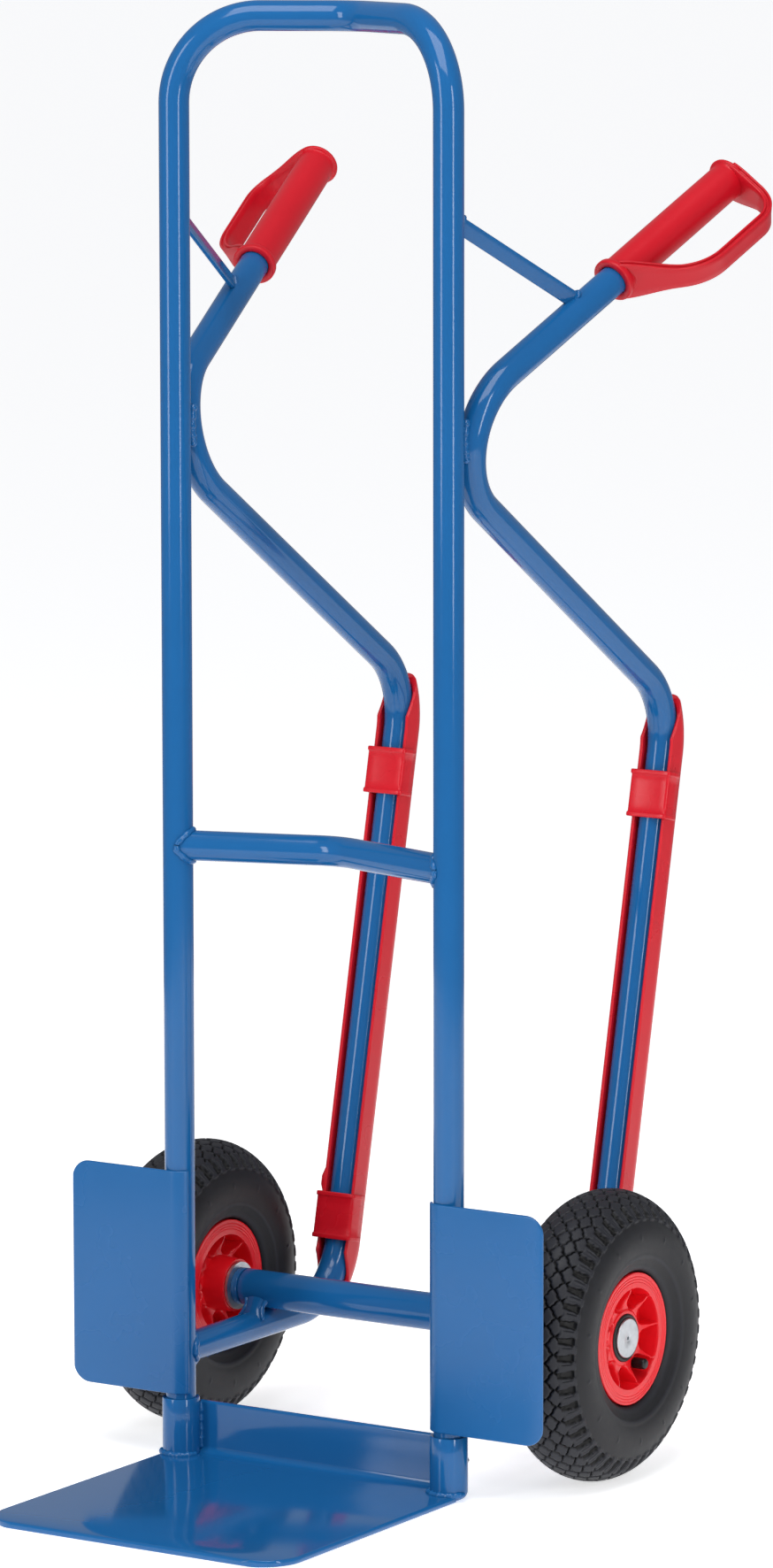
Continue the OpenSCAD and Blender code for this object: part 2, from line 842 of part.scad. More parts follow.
on_side(1) bearing(hub_inner);  // inner_bearing_right
on_side(-1) bearing(hub_outer - bearing_w);  // outer_bearing_left
on_side(1) bearing(hub_outer - bearing_w);  // outer_bearing_right
on_side(-1) hub_spacer();  // hub_spacer_left
on_side(1) hub_spacer();  // hub_spacer_right
on_side(-1) valve_stem();  // valve_stem_left
on_side(1) valve_stem();  // valve_stem_right
on_side(-1) valve_cap();  // valve_cap_left
on_side(1) valve_cap();  // valve_cap_right
on_side(-1) grip();  // grip_left
on_side(1) grip();  // grip_right
on_side(-1) skid();  // skid_left
on_side(1) skid();  // skid_right
on_side(-1) skid_clip(clip_high_at);  // skid_clip_upper_left
on_side(1) skid_clip(clip_high_at);  // skid_clip_upper_right
on_side(-1) skid_clip(clip_low_at);  // skid_clip_lower_left
on_side(1) skid_clip(clip_low_at);  // skid_clip_lower_right
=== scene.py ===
import bpy
import numpy as np
from mathutils import Matrix, Vector


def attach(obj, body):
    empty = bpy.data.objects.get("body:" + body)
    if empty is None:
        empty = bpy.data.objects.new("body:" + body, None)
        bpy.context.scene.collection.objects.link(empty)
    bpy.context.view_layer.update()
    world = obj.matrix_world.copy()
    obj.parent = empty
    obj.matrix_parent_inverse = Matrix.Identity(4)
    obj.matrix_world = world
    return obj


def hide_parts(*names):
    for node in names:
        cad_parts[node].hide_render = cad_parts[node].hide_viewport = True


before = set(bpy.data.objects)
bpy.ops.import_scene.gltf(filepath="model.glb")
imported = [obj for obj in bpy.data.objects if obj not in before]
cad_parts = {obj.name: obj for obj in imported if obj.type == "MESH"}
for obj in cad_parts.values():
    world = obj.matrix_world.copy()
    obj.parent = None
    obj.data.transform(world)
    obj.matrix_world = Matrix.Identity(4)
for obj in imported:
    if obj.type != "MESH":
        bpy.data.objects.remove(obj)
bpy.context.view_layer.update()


# --- Camera -------------------------------------------------------------------
# A long lens a little above hand height, in front of the truck and to its right,
# looking slightly down at the open side of the frame.
def camera_axes(azimuth, elevation, roll):
    """Right, up and back of a camera at that azimuth and height angle, turned by roll, all in degrees."""
    az, el, ro = np.radians([azimuth, elevation, roll])
    back = np.array([np.sin(az) * np.cos(el), -np.cos(az) * np.cos(el), np.sin(el)])
    right = np.array([np.cos(az), np.sin(az), 0.0])
    up = np.cross(back, right)
    return right * np.cos(ro) + up * np.sin(ro), up * np.cos(ro) - right * np.sin(ro), back


cam_right, cam_up, cam_back = camera_axes(32.644, 8.21, -0.083)
cam_place = camera_axes(32.644, 8.21, 0)[0] * 0.0655 + np.array([0, 0, 0.6212]) + cam_back * 6.2567
lens = bpy.data.cameras.new("long_lens")
lens.sensor_fit, lens.sensor_width, lens.lens, lens.clip_end = "HORIZONTAL", 36.0, 333.5, 400
camera = bpy.data.objects.new("long_lens", lens)
camera.matrix_world = Matrix(
    [[cam_right[i], cam_up[i], cam_back[i], cam_place[i]] for i in range(3)] + [[0, 0, 0, 1]]
)
bpy.context.scene.collection.objects.link(camera)
bpy.context.scene.camera = camera
bpy.context.scene.view_settings.view_transform = "Standard"


# --- Studio floor and light ---------------------------------------------------
# A flat floor of white vinyl that glows a little and closes into a dome far out. Only its near
# part is mirrored in the paint. Soft boxes in front and above put long highlights on the tubes.
def linear(hex_colour):
    """sRGB hex to linear RGBA: c / 12.92 up to 0.04045, above it ((c + 0.055) / 1.055) to the power 2.4."""
    c = np.array([int(hex_colour[i:i + 2], 16) for i in (1, 3, 5)]) / 255
    return (*np.where(c <= 0.04045, c / 12.92, ((c + 0.055) / 1.055) ** 2.4), 1.0)


def add_node(tree, kind, links=None, **settings):
    """Adds a node; settings are its own fields or its sockets' values, links are sockets that feed it."""
    made = tree.nodes.new(kind)
    for key, value in settings.items():
        if hasattr(made, key):
            setattr(made, key, value)
        else:
            made.inputs[key.replace("_", " ")].default_value = value
    for key, source in (links or {}).items():
        tree.links.new(source, made.inputs[key])
    return made


def empty_material(name):
    """A new material with only its output node, and its node tree."""
    material = bpy.data.materials.new(name)
    material.use_nodes = True
    material.node_tree.nodes.clear()
    return material, material.node_tree


def finish_surface(tree, shader):
    """Sends a shader to the material's output."""
    add_node(tree, "ShaderNodeOutputMaterial", {"Surface": shader})


def mesh_piece(name, points, faces, crease=40):
    """An object from points in metres and arrays of quads and triangles; edges sharper than crease stay crisp.
    The signed volume, the sum of p0 . (p1 x p2) / 6, must be above zero for a closed piece, else its faces turn."""
    points = np.asarray(points, float).reshape(-1, 3)
    volume = sum(
        (points[f[:, 0]] * np.cross(points[f[:, k]], points[f[:, k + 1]])).sum()
        for f in faces for k in range(1, f.shape[1] - 1)
    )
    if volume < 0:
        faces = [f[:, ::-1] for f in faces]
    corners = np.concatenate([f.ravel() for f in faces]).astype(np.int32)
    counts = np.concatenate([np.full(len(f), f.shape[1]) for f in faces])
    mesh = bpy.data.meshes.new(name)
    mesh.vertices.add(len(points))
    mesh.vertices.foreach_set("co", points.astype(np.float32).ravel())
    mesh.loops.add(len(corners))
    mesh.loops.foreach_set("vertex_index", corners)
    mesh.polygons.add(len(counts))
    mesh.polygons.foreach_set("loop_start", (np.cumsum(counts) - counts).astype(np.int32))
    mesh.polygons.foreach_set("use_smooth", np.ones(len(counts), bool))
    mesh.update(calc_edges=True)
    mesh.set_sharp_from_angle(angle=np.radians(crease))
    made = bpy.data.objects.new(name, mesh)
    bpy.context.scene.collection.objects.link(made)
    return made


def grid_quads(rows, cols, rows_close=False, cols_close=True):
    """Quads between neighbours of a rows x cols grid, which may close on itself either way."""
    i = np.arange(rows if rows_close else rows - 1)[:, None]
    j = np.arange(cols if cols_close else cols - 1)[None]
    i2, j2 = (i + 1) % rows, (j + 1) % cols
    return np.stack([i * cols + j, i2 * cols + j, i2 * cols + j2, i * cols + j2], -1).reshape(-1, 4)


floor_turn = np.arange(96) * 2 * np.pi / 96
floor_unit = np.stack([np.cos(floor_turn), np.sin(floor_turn), 0 * floor_turn], -1)
near_r, far_r = np.linspace(0.4, 2.6, 6)[:, None, None], 2.6 + 150 * np.linspace(0, 1, 24) ** 3
sky_lift = np.linspace(0, np.pi / 2, 26)[1:-1]
sky_reach = np.concatenate([far_r, far_r[-1] * np.cos(sky_lift)])[:, None]
sky_height = np.concatenate([0 * far_r, far_r[-1] * np.sin(sky_lift)])[:, None]
sky_points = np.stack([sky_reach * np.cos(floor_turn), sky_reach * np.sin(floor_turn), sky_height + 0 * floor_turn], -1)
sky_fan = np.stack([np.full(96, 48 * 96), 47 * 96 + np.arange(96), 47 * 96 + (np.arange(96) + 1) % 96], -1)
near_fan = np.stack([np.full(96, 6 * 96), np.arange(96), (np.arange(96) + 1) % 96], -1)
near_floor = mesh_piece(
    "near_floor", np.concatenate([(near_r * floor_unit).reshape(-1, 3), [[0, 0, 0]]]), [grid_quads(6, 96), near_fan],
)
far_floor = mesh_piece(
    "far_floor", np.concatenate([sky_points.reshape(-1, 3), [[0, 0, far_r[-1]]]]), [grid_quads(48, 96), sky_fan],
)
far_floor.visible_glossy = far_floor.visible_diffuse = far_floor.visible_shadow = False
white_vinyl, tree = empty_material("white_vinyl")
grain = add_node(tree, "ShaderNodeTexNoise", {"Vector": add_node(tree, "ShaderNodeTexCoord").outputs["Object"]}, Scale=3.0)
haze = add_node(tree, "ShaderNodeMapRange", {"Value": grain.outputs["Fac"]}, To_Min=0.55, To_Max=0.62)
shade = add_node(
    tree, "ShaderNodeBsdfPrincipled", {"Roughness": haze.outputs["Result"]}, Base_Color=linear("#FAFAFB"),
    Emission_Color=linear("#FFFFFF"), Emission_Strength=0.62,
)
finish_surface(tree, shade.outputs["BSDF"])
for part in (near_floor, far_floor):
    part.data.materials.append(white_vinyl)

air = bpy.data.worlds.new("studio_air")
air.use_nodes = True
air.node_tree.nodes["Background"].inputs["Color"].default_value = linear("#F2F4F8")
air.node_tree.nodes["Background"].inputs["Strength"].default_value = 0.38
bpy.context.scene.world = air


def soft_box(name, place, aim, wide, high, watts):
    """A rectangular area lamp at a place, turned so that it faces the aim."""
    lamp = bpy.data.lights.new(name, "AREA")
    lamp.shape, lamp.size, lamp.size_y, lamp.energy = "RECTANGLE", wide, high, watts
    stand = bpy.data.objects.new(name, lamp)
    stand.location = place
    stand.rotation_euler = (Vector(aim) - Vector(place)).to_track_quat("-Z", "Y").to_euler()
    bpy.context.scene.collection.objects.link(stand)


soft_box("top_box", (0.6, -1.2, 3.4), (0, 0.1, 0.3), 2.2, 2.2, 70)
soft_box("front_left_strip", (-1.4, -3.5, 1.7), (0, 0, 0.6), 0.9, 2.6, 46)
soft_box("right_strip", (3.4, -1.4, 1.5), (0, 0, 0.5), 0.5, 2.4, 40)


# --- Blue enamel --------------------------------------------------------------
# The finish of every steel tube and sheet of the frame: a glossy stoving enamel,
# sprayed and baked. It looks wet, with a faint orange peel and soft cloudy tone.
def enamel(name, colour, roughness, peel_mm, peel_depth, tone=0.05, ior=1.42):
    """A dielectric skin: tone drifts over 60 mm clouds, roughness with it, and a fine bump gives the peel."""
    material, tree = empty_material(name)
    place = add_node(tree, "ShaderNodeTexCoord").outputs["Object"]
    clouds = add_node(tree, "ShaderNodeTexNoise", {"Vector": place}, Scale=1 / 0.06, Detail=3.0).outputs["Fac"]
    rgb = np.array(linear(colour))[:3]
    tint = add_node(tree, "ShaderNodeMix", {0: clouds}, data_type="RGBA")
    tint.inputs[6].default_value = (*(rgb * (1 - tone)), 1)
    tint.inputs[7].default_value = (*np.minimum(rgb * (1 + tone), 1), 1)
    haze = add_node(
        tree, "ShaderNodeMapRange", {"Value": clouds}, To_Min=roughness * 0.75, To_Max=roughness * 1.3
    ).outputs["Result"]
    peel = add_node(tree, "ShaderNodeTexNoise", {"Vector": place}, Scale=1000 / peel_mm, Detail=1.0).outputs["Fac"]
    bump = add_node(tree, "ShaderNodeBump", {"Height": peel}, Strength=0.35, Distance=peel_depth / 1000)
    shade = add_node(
        tree, "ShaderNodeBsdfPrincipled",
        {"Base Color": tint.outputs[2], "Roughness": haze, "Normal": bump.outputs["Normal"]},
        IOR=ior,
    )
    finish_surface(tree, shade.outputs["BSDF"])
    return material


blue_enamel = enamel("blue_stoving_enamel", "#155A93", 0.1, 7.0, 0.012)


def fit_piece(piece, material, body, slot, *stands_for):
    """Gives a piece its material and the body it moves with, and hides the CAD nodes it stands for; the finish slot is
    not used.
    """
    piece.data.materials.append(material)
    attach(piece, body)
    if stands_for:
        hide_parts(*stands_for)


def finish_node(name, material):
    """Gives a CAD node that stays in view its material."""
    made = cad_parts[name]
    made.data.materials.clear()
    made.data.materials.append(material)


# --- Main hoop and middle crossbar --------------------------------------------
# Steel tube 26.9 mm across, bent cold: the hoop's two shoulders have a radius of
# 76 mm, and top bar and crossbar are both bent back at their middle.
MM = 0.001
TUBE_R = 13.45
UPRIGHT_X = 141.55
SIDES = ((1, "right"), (-1, "left"))


def unit(v):
    """Vectors of length one."""
    v = np.asarray(v, float)
    return v / np.linalg.norm(v, axis=-1, keepdims=True)


def bent_path(nodes, radii, degrees=3.0):
    """Points along straight runs joined by arcs: at node n between a and b, an arc of radius r starts
    r tan(turn / 2) before n and has its centre on the inner side."""
    nodes = [np.asarray(n, float) for n in nodes]
    path = [nodes[0][None]]
    for a, n, b, r in zip(nodes, nodes[1:], nodes[2:], radii):
        d, e = unit(n - a), unit(b - n)
        turn = np.arccos(np.clip(d @ e, -1, 1))
        inward = unit(e - d * (d @ e))
        start = n - d * r * np.tan(turn / 2)
        steps = np.linspace(0, turn, max(4, int(np.degrees(turn) / degrees) + 2))[:, None]
        path.append(start + r * (d * np.sin(steps) + inward * (1 - np.cos(steps))))
    return np.concatenate(path + [nodes[-1][None]])


def carried(path, across, section, tangent=None):
    """Rings of a section carried along a path: point = path + x a + y b, where x is across made
    square to the path, y = tangent x x, and (a, b) is the section, one for all or one for each station."""
    path = np.asarray(path, float)
    t = unit(np.gradient(path, axis=0)) if tangent is None else unit(np.broadcast_to(tangent, path.shape))
    x = np.broadcast_to(across, path.shape)
    x = unit(x - t * (x * t).sum(-1, keepdims=True))
    y = np.cross(t, x)
    section = np.broadcast_to(section, (len(path),) + np.shape(section)[-2:])
    return path[:, None] + x[:, None] * section[..., :1] + y[:, None] * section[..., 1:]


def solid(name, rings, looped=False, crease=40):
    """A closed piece from rings of points in mm: quads between rings, and a fan on each end unless it is looped."""
    n, m = rings.shape[:2]
    points, faces = rings.reshape(-1, 3), [grid_quads(n, m, rows_close=looped)]
    if not looped:
        j = np.arange(m)
        for row, centre in ((0, n * m), (n - 1, n * m + 1)):
            a, b = row * m + j, row * m + (j + 1) % m
            faces.append(np.stack([np.full(m, centre), *((a, b) if row else (b, a))], -1))
        points = np.concatenate([points, rings[[0, -1]].mean(1)])
    return mesh_piece(name, points * MM, faces, crease)


def circle(radius, count=48):
    """Points of a circle, counted from the first axis."""
    t = np.arange(count) * 2 * np.pi / count
    return np.stack([np.cos(t), np.sin(t)], -1) * np.asarray(radius)[..., None, None]


TOP_Z = 1300 - TUBE_R
hoop_path = bent_path(
    [(-UPRIGHT_X, 0, 12), (-UPRIGHT_X, 0, TOP_Z), (0, 74, TOP_Z), (UPRIGHT_X, 0, TOP_Z), (UPRIGHT_X, 0, 12)],
    [76, 48, 76],
)
fit_piece(
    solid("hoop_tube", carried(hoop_path, (0.3, 1, 0.2), circle(TUBE_R))),
    blue_enamel, "frame", "frame_blue", "main_hoop",
)
CROSS_Z = 556
cross_path = bent_path([(-UPRIGHT_X + 3, 1, CROSS_Z), (0, 45, CROSS_Z), (UPRIGHT_X - 3, 1, CROSS_Z)], [60])
fit_piece(
    solid("crossbar_tube", carried(cross_path, (0, 0, 1), circle(TUBE_R))), blue_enamel, "frame", "frame_blue", "middle_crossbar"
)


# --- Side tubes with skid run and handle ----------------------------------------
# One bent tube on each side: from the upright's foot back under the axle, up the
# skid run, forward along the diagonal to the elbow on the upright, and out to the grip.
def to_side(points, side):
    """The points as they are for the right, or mirrored in the middle plane for the left."""
    return np.asarray(points, float) * (side, 1, 1)


ELBOW = np.array([UPRIGHT_X, -38.924, 928.0])
SKID_TOP = np.array([UPRIGHT_X, 373.035, 664.541])
SKID_FOOT = np.array([UPRIGHT_X, 248.802, 99.5])
ARM_START = np.array([UPRIGHT_X, 3.0, 99.5])
HANDLE = np.array([0.17268801, 0.86421908, 0.47255076])
side_path = bent_path([ARM_START, SKID_FOOT, SKID_TOP, ELBOW, ELBOW + HANDLE * 440], [70, 70, 70])
for side, label in SIDES:
    fit_piece(
        solid("side_tube_run_" + label, to_side(carried(side_path, (1, 0, 0), circle(TUBE_R)), side)),
        blue_enamel, "frame", "frame_blue", "side_tube_" + label,
    )


# --- Handle braces ----------------------------------------------------------------
# A flat steel bar, 14.5 by 4.5 mm with rolled edges, cut to length and welded
# between upright and handle, twisted a little to lie against both tubes.
def rounded_box(wide, high, radius, steps=4):
    """Outline of a rectangle of wide by high with rounded corners, steps + 1 points on each corner."""
    t = (np.arange(4)[:, None] * 90 + np.linspace(0, 90, steps + 1)) * np.pi / 180
    corner = np.array([[1, 1], [-1, 1], [-1, -1], [1, -1]])[:, None] * (np.array([wide, high]) / 2 - radius)
    return (corner + radius * np.stack([np.cos(t), np.sin(t)], -1)).reshape(-1, 2)


BRACE_FOOT = np.array([UPRIGHT_X, 0, 1120.0])
BRACE_HEAD = ELBOW + HANDLE * 228
brace_path = BRACE_FOOT + (BRACE_HEAD - BRACE_FOOT) * np.linspace(0.04, 0.955, 8)[:, None]
brace_side = (np.cos(np.radians(26)), 0, -np.sin(np.radians(26)))
for side, label in SIDES:
    fit_piece(
        solid("brace_bar_" + label, to_side(carried(brace_path, brace_side, rounded_box(4.5, 14.5, 1.1)), side), crease=60),
        blue_enamel, "frame", "frame_blue", "handle_brace_" + label,
    )


# --- Wheel guards -------------------------------------------------------------------
# A 3 mm steel sheet in front of each wheel with two rounded outer corners. Its inner
# margin is rolled round the upright, and the enamel rounds all its cut edges.
GUARD_Z, GUARD_H, GUARD_T, GUARD_REACH, GUARD_CORNER, GUARD_WRAP = 62.0, 203.0, 3.0, 247.0, 17.0, 62.0
guard_mid = TUBE_R + 0.2 + GUARD_T / 2
wrap_run = np.radians(GUARD_WRAP) * guard_mid
flat_run = GUARD_REACH - UPRIGHT_X
along = np.concatenate([
    -wrap_run + 1.3 * (1 - np.cos(np.linspace(0.15, np.pi / 2, 5))), np.linspace(-wrap_run + 2, 0, 14), np.linspace(3, flat_run - 18, 9),
    flat_run - 17 * (1 - np.sin(np.linspace(0, 1.0, 10) * np.pi / 2)), 
])
along = np.unique(np.concatenate([along, flat_run - 1.3 * (1 - np.sin(np.linspace(0, 0.97, 5) * np.pi / 2))]))
past = np.clip(along - (flat_run - GUARD_CORNER), 0, GUARD_CORNER)
half_h = GUARD_H / 2 - (GUARD_CORNER - np.sqrt(np.maximum(GUARD_CORNER ** 2 - past ** 2, 0)))
end_gap = np.minimum(along + wrap_run, flat_run - along)
thick = GUARD_T * np.sqrt(np.clip(1 - (1 - np.clip(end_gap / 1.3, 0.08, 1)) ** 2, 0, 1))
turn = np.clip(-along, 0, None) / guard_mid
guard_path = np.stack([UPRIGHT_X + np.maximum(along, 0) - guard_mid * np.sin(turn), -guard_mid * np.cos(turn), np.full_like(along, GUARD_Z + GUARD_H / 2)], -1)
guard_tangent = np.stack([np.cos(turn), -np.sin(turn), 0 * turn], -1)
guard_section = np.stack([
    np.sign(rounded_box(2, 2, 0.99, 5))[None, :, 0] * (half_h[:, None] - 1.3) + rounded_box(2, 2, 0.99, 5)[None, :, 0] * 1.3,
    rounded_box(2, 2, 0.99, 5)[None, :, 1] * thick[:, None] / 2,
], -1)
sheet_enamel = enamel("blue_enamel_on_rolled_sheet", "#155A93", 0.26, 9.0, 0.015)
for side, label in SIDES:
    fit_piece(
        solid("guard_sheet_" + label, to_side(carried(guard_path, (0, 0, 1), guard_section, guard_tangent), side), crease=50),
        sheet_enamel, "frame", "sheet_blue", "wheel_guard_" + label,
    )


# --- Toe plate ------------------------------------------------------------------------
# One 6 mm steel sheet: a flat blade with two rounded front corners, folded up at the
# back into a flange between the sockets. The thick enamel rounds its edges.
TOE_T, TOE_FRONT, TOE_CORNER, TOE_HALF = 6.0, 293.0, 38.0, 155.5
fold_mid = 6.0 + TOE_T / 2
flange_half = UPRIGHT_X - 12.0
reach = np.concatenate([
    2.2 * (1 - np.cos(np.linspace(0.35, np.pi / 2, 5))), TOE_CORNER * (1 - np.cos(np.linspace(0.35, np.pi / 2, 18))),
    np.linspace(60, TOE_FRONT - 10.2, 10), [TOE_FRONT - 9.4],
])
reach = np.unique(reach)
from_front = np.clip(TOE_CORNER - reach, 0, TOE_CORNER)
half_w = TOE_HALF - (TOE_CORNER - np.sqrt(TOE_CORNER ** 2 - from_front ** 2))
blade = np.stack([0 * reach, -TOE_FRONT + reach, 0 * reach + TOE_T / 2], -1)
swing = np.linspace(0, np.pi / 2, 9)
fold = np.stack([0 * swing, 16.85 - TOE_T / 2 - fold_mid + fold_mid * np.sin(swing), TOE_T / 2 + fold_mid * (1 - np.cos(swing))], -1)
rise = 53 - 2.2 * (1 - np.sin(np.linspace(0, 1.22, 6)))
flange = np.stack([0 * rise, 0 * rise + 16.85 - TOE_T / 2, rise], -1)
link = np.array([[0, -9.3, TOE_T / 2]])
toe_path = np.concatenate([blade, link, fold, [[0, 16.85 - TOE_T / 2, 30]], flange])
toe_half = np.concatenate([half_w, np.full(len(toe_path) - len(half_w), flange_half)])
toe_end = np.concatenate([reach, np.full(len(link) + len(fold) + 1, 20), 53.0 - rise])
toe_thick = TOE_T * np.sqrt(np.clip(1 - (1 - np.clip(toe_end / 2.2, 0.03, 1)) ** 2, 0, 1))
toe_tangent = np.concatenate([
    np.tile([[0, 1, 0]], (len(blade) + 1, 1)), np.stack([0 * swing, np.cos(swing), np.sin(swing)], -1),
    np.tile([[0, 0, 1]], (len(flange) + 1, 1)),
])
edge = rounded_box(2, 2, 0.99, 6)
toe_section = np.stack([
    np.sign(edge[None, :, 0]) * (toe_half[:, None] - 2.4) + edge[None, :, 0] * 2.4, edge[None, :, 1] * toe_thick[:, None] / 2,
], -1)
fit_piece(
    solid("toe_blade", carried(toe_path, (1, 0, 0), toe_section, toe_tangent), crease=50),
    blue_enamel, "frame", "sheet_blue", "toe_plate",
)


# --- Plug-in sockets --------------------------------------------------------------------
# Short steel tubes that the uprights plug into, each with a pressed, rounded foot and a
# flat sawn rim whose edges carry a bright line of enamel. A bolt behind holds them.
def spun(name, profile, place, axis, count=64, looped=True, crease=40, ripple=None):
    """A profile of (radius, distance) turned about an axis: point = place + axis d + r (u cos a + v sin a),
    where u and v are square to the axis; ripple, if given, is a radius offset for each row and angle."""
    profile = np.asarray(profile, float)
    axis = unit(axis)
    u = unit(np.cross(axis, (0.31, 0.2, 0.93)))
    v = np.cross(axis, u)
    a = np.arange(count) * 2 * np.pi / count
    r = profile[:, :1] + (0 if ripple is None else ripple(profile[:, :1], profile[:, 1:], a[None]))
    rings = (
        np.asarray(place, float) + axis * profile[:, 1, None, None]
        + r[..., None] * (u * np.cos(a)[:, None] + v * np.sin(a)[:, None])
    )
    return solid(name, rings, looped, crease)


foot_turn = np.linspace(0, np.pi / 2, 9)
socket_profile = np.concatenate([
    [[2.0, 0.0], [8.0, 0.0]], np.stack([8.85 + 8 * np.sin(foot_turn), 8 - 8 * np.cos(foot_turn)], -1),
    [[16.85, 30], [16.85, 56.2], [16.6, 56.8], [16.1, 57], [14.3, 57], [13.75, 56.8], [13.6, 56.2], [13.6, 50], [2.0, 50]],
])
for side, label in SIDES:
    fit_piece(
        spun("socket_shell_" + label, socket_profile, (side * UPRIGHT_X, 0, 0), (0, 0, 1), looped=False),
        blue_enamel, "frame", "frame_blue", "toe_socket_" + label,
    )


# --- Weld beads ----------------------------------------------------------------------------
# Every joint is a hand-laid arc weld: a bead 5 to 6 mm wide with the small overlapping
# scales of the weld pool, painted over, so the light breaks on its lumps.
def weld_bead(name, seam, bead, side=1, closed=False, pitch=4.0, away=(0, 1, 0)):
    """A bead along a seam: its radius is bead (1 + 0.2 |sin(pi s / pitch)| + 0.12 sin(0.71 s + 1.3)),
    s the run in mm, ends drawn in."""
    seam = np.asarray(seam, float)
    back = np.roll(seam, 1, 0) if closed else np.vstack([seam[:1], seam[:-1]])
    s = np.cumsum(np.linalg.norm(seam - back, axis=1))
    swell = 1 + 0.2 * np.abs(np.sin(np.pi * s / pitch)) + 0.12 * np.sin(s * 0.71 + 1.3)
    if not closed:
        swell = swell * np.sqrt(np.clip(np.minimum(s, s[-1] - s) / 3.5 + 0.15, 0, 1))
    t = unit(np.roll(seam, -1, 0) - np.roll(seam, 1, 0)) if closed else None
    rings = carried(seam, away, circle(1.0, 12)[None] * (bead * swell)[:, None, None], t)
    fit_piece(solid(name, to_side(rings, side), closed, 60), blue_enamel, "frame", "frame_blue")


def tee_seam(count=72):
    """Where a tube of TUBE_R meets an equal tube at a right angle: for angle a round the branch, the seam
    stands sqrt(R^2 - (R cos a)^2) out from the other tube's axis."""
    a = np.arange(count) * 2 * np.pi / count
    return (TUBE_R + 0.6) * np.cos(a), (TUBE_R + 0.6) * np.sin(a), np.sqrt(np.clip(TUBE_R ** 2 - (TUBE_R * np.cos(a)) ** 2, 9, None))


seam_a, seam_b, seam_out = tee_seam()
cross_dir = unit(np.array([-UPRIGHT_X, 45.0, 0]))
for side, label in SIDES:
    cross_seam = np.array([UPRIGHT_X, 0, CROSS_Z]) + cross_dir * seam_out[:, None] + np.cross(cross_dir, (0, 0, 1)) * seam_a[:, None] + np.array([0, 0, 1]) * seam_b[:, None]
    weld_bead("weld_crossbar_" + label, cross_seam, 2.5, side, closed=True, away=(0, 0.2, 1))
    arm_seam = np.array([UPRIGHT_X, 0, 99.5]) + np.array([0, 1, 0]) * seam_out[:, None] + np.array([1, 0, 0]) * seam_a[:, None] + np.array([0, 0, 1]) * seam_b[:, None]
    weld_bead("weld_arm_" + label, arm_seam, 2.6, side, closed=True, away=(0.1, 1, 0.1))
    rise = np.linspace(-19, 19, 40)
    bow = 0.0072 * rise ** 2
    for turn, edge_label in ((1, "outer"), (-1, "inner")):
        elbow_seam = np.stack([0 * rise + UPRIGHT_X + turn * (7.6 + bow * 0.6), 13.6 + bow * 0.5, 928 + rise], -1)
        weld_bead(f"weld_elbow_{edge_label}_{label}", elbow_seam, 3.3, side, away=(1, 0, 0))
    bar_dir = unit(BRACE_HEAD - BRACE_FOOT)
    bar_x = unit(np.array(brace_side) - bar_dir * (np.array(brace_side) @ bar_dir))
    bar_y = np.cross(bar_dir, bar_x)
    ring = rounded_box(5.2, 15.4, 2.2, 6)
    for spot, end_label in ((BRACE_FOOT + bar_dir * 13.6, "foot"), (BRACE_HEAD - bar_dir * 14.2, "head")):
        weld_bead(f"weld_brace_{end_label}_{label}", spot + bar_x * ring[:, :1] + bar_y * ring[:, 1:], 1.7, side, closed=True, away=tuple(bar_dir))
    arc = np.radians(np.linspace(-86, 86, 60))
    plate_seam = np.stack([UPRIGHT_X + 17.3 * np.sin(arc), -17.3 * np.cos(arc), 6.6 + 0 * arc], -1)
    weld_bead("weld_plate_" + label, plate_seam, 2.5, side, away=(0, 0, 1))
    climb = np.linspace(9, 52, 40)
    for y, face_label in ((10.3, "front"), (17.0, "back")):
        flange_seam = np.stack([0 * climb + UPRIGHT_X - np.sqrt(17.2 ** 2 - min(y, 16.4) ** 2) - 0.4, 0 * climb + y, climb], -1)
        weld_bead(f"weld_flange_{face_label}_{label}", flange_seam, 2.1, side, away=(1, 0, 0))
    for low, spot_label in ((70, "low"), (160, "middle"), (238, "high")):
        climb = np.linspace(low, low + 22, 24)
        guard_seam = np.stack([0 * climb + UPRIGHT_X + 9.8, 0 * climb - 11.4, climb], -1)
        weld_bead(f"weld_guard_{spot_label}_{label}", guard_seam, 2.6, side, away=(0, 1, 0))


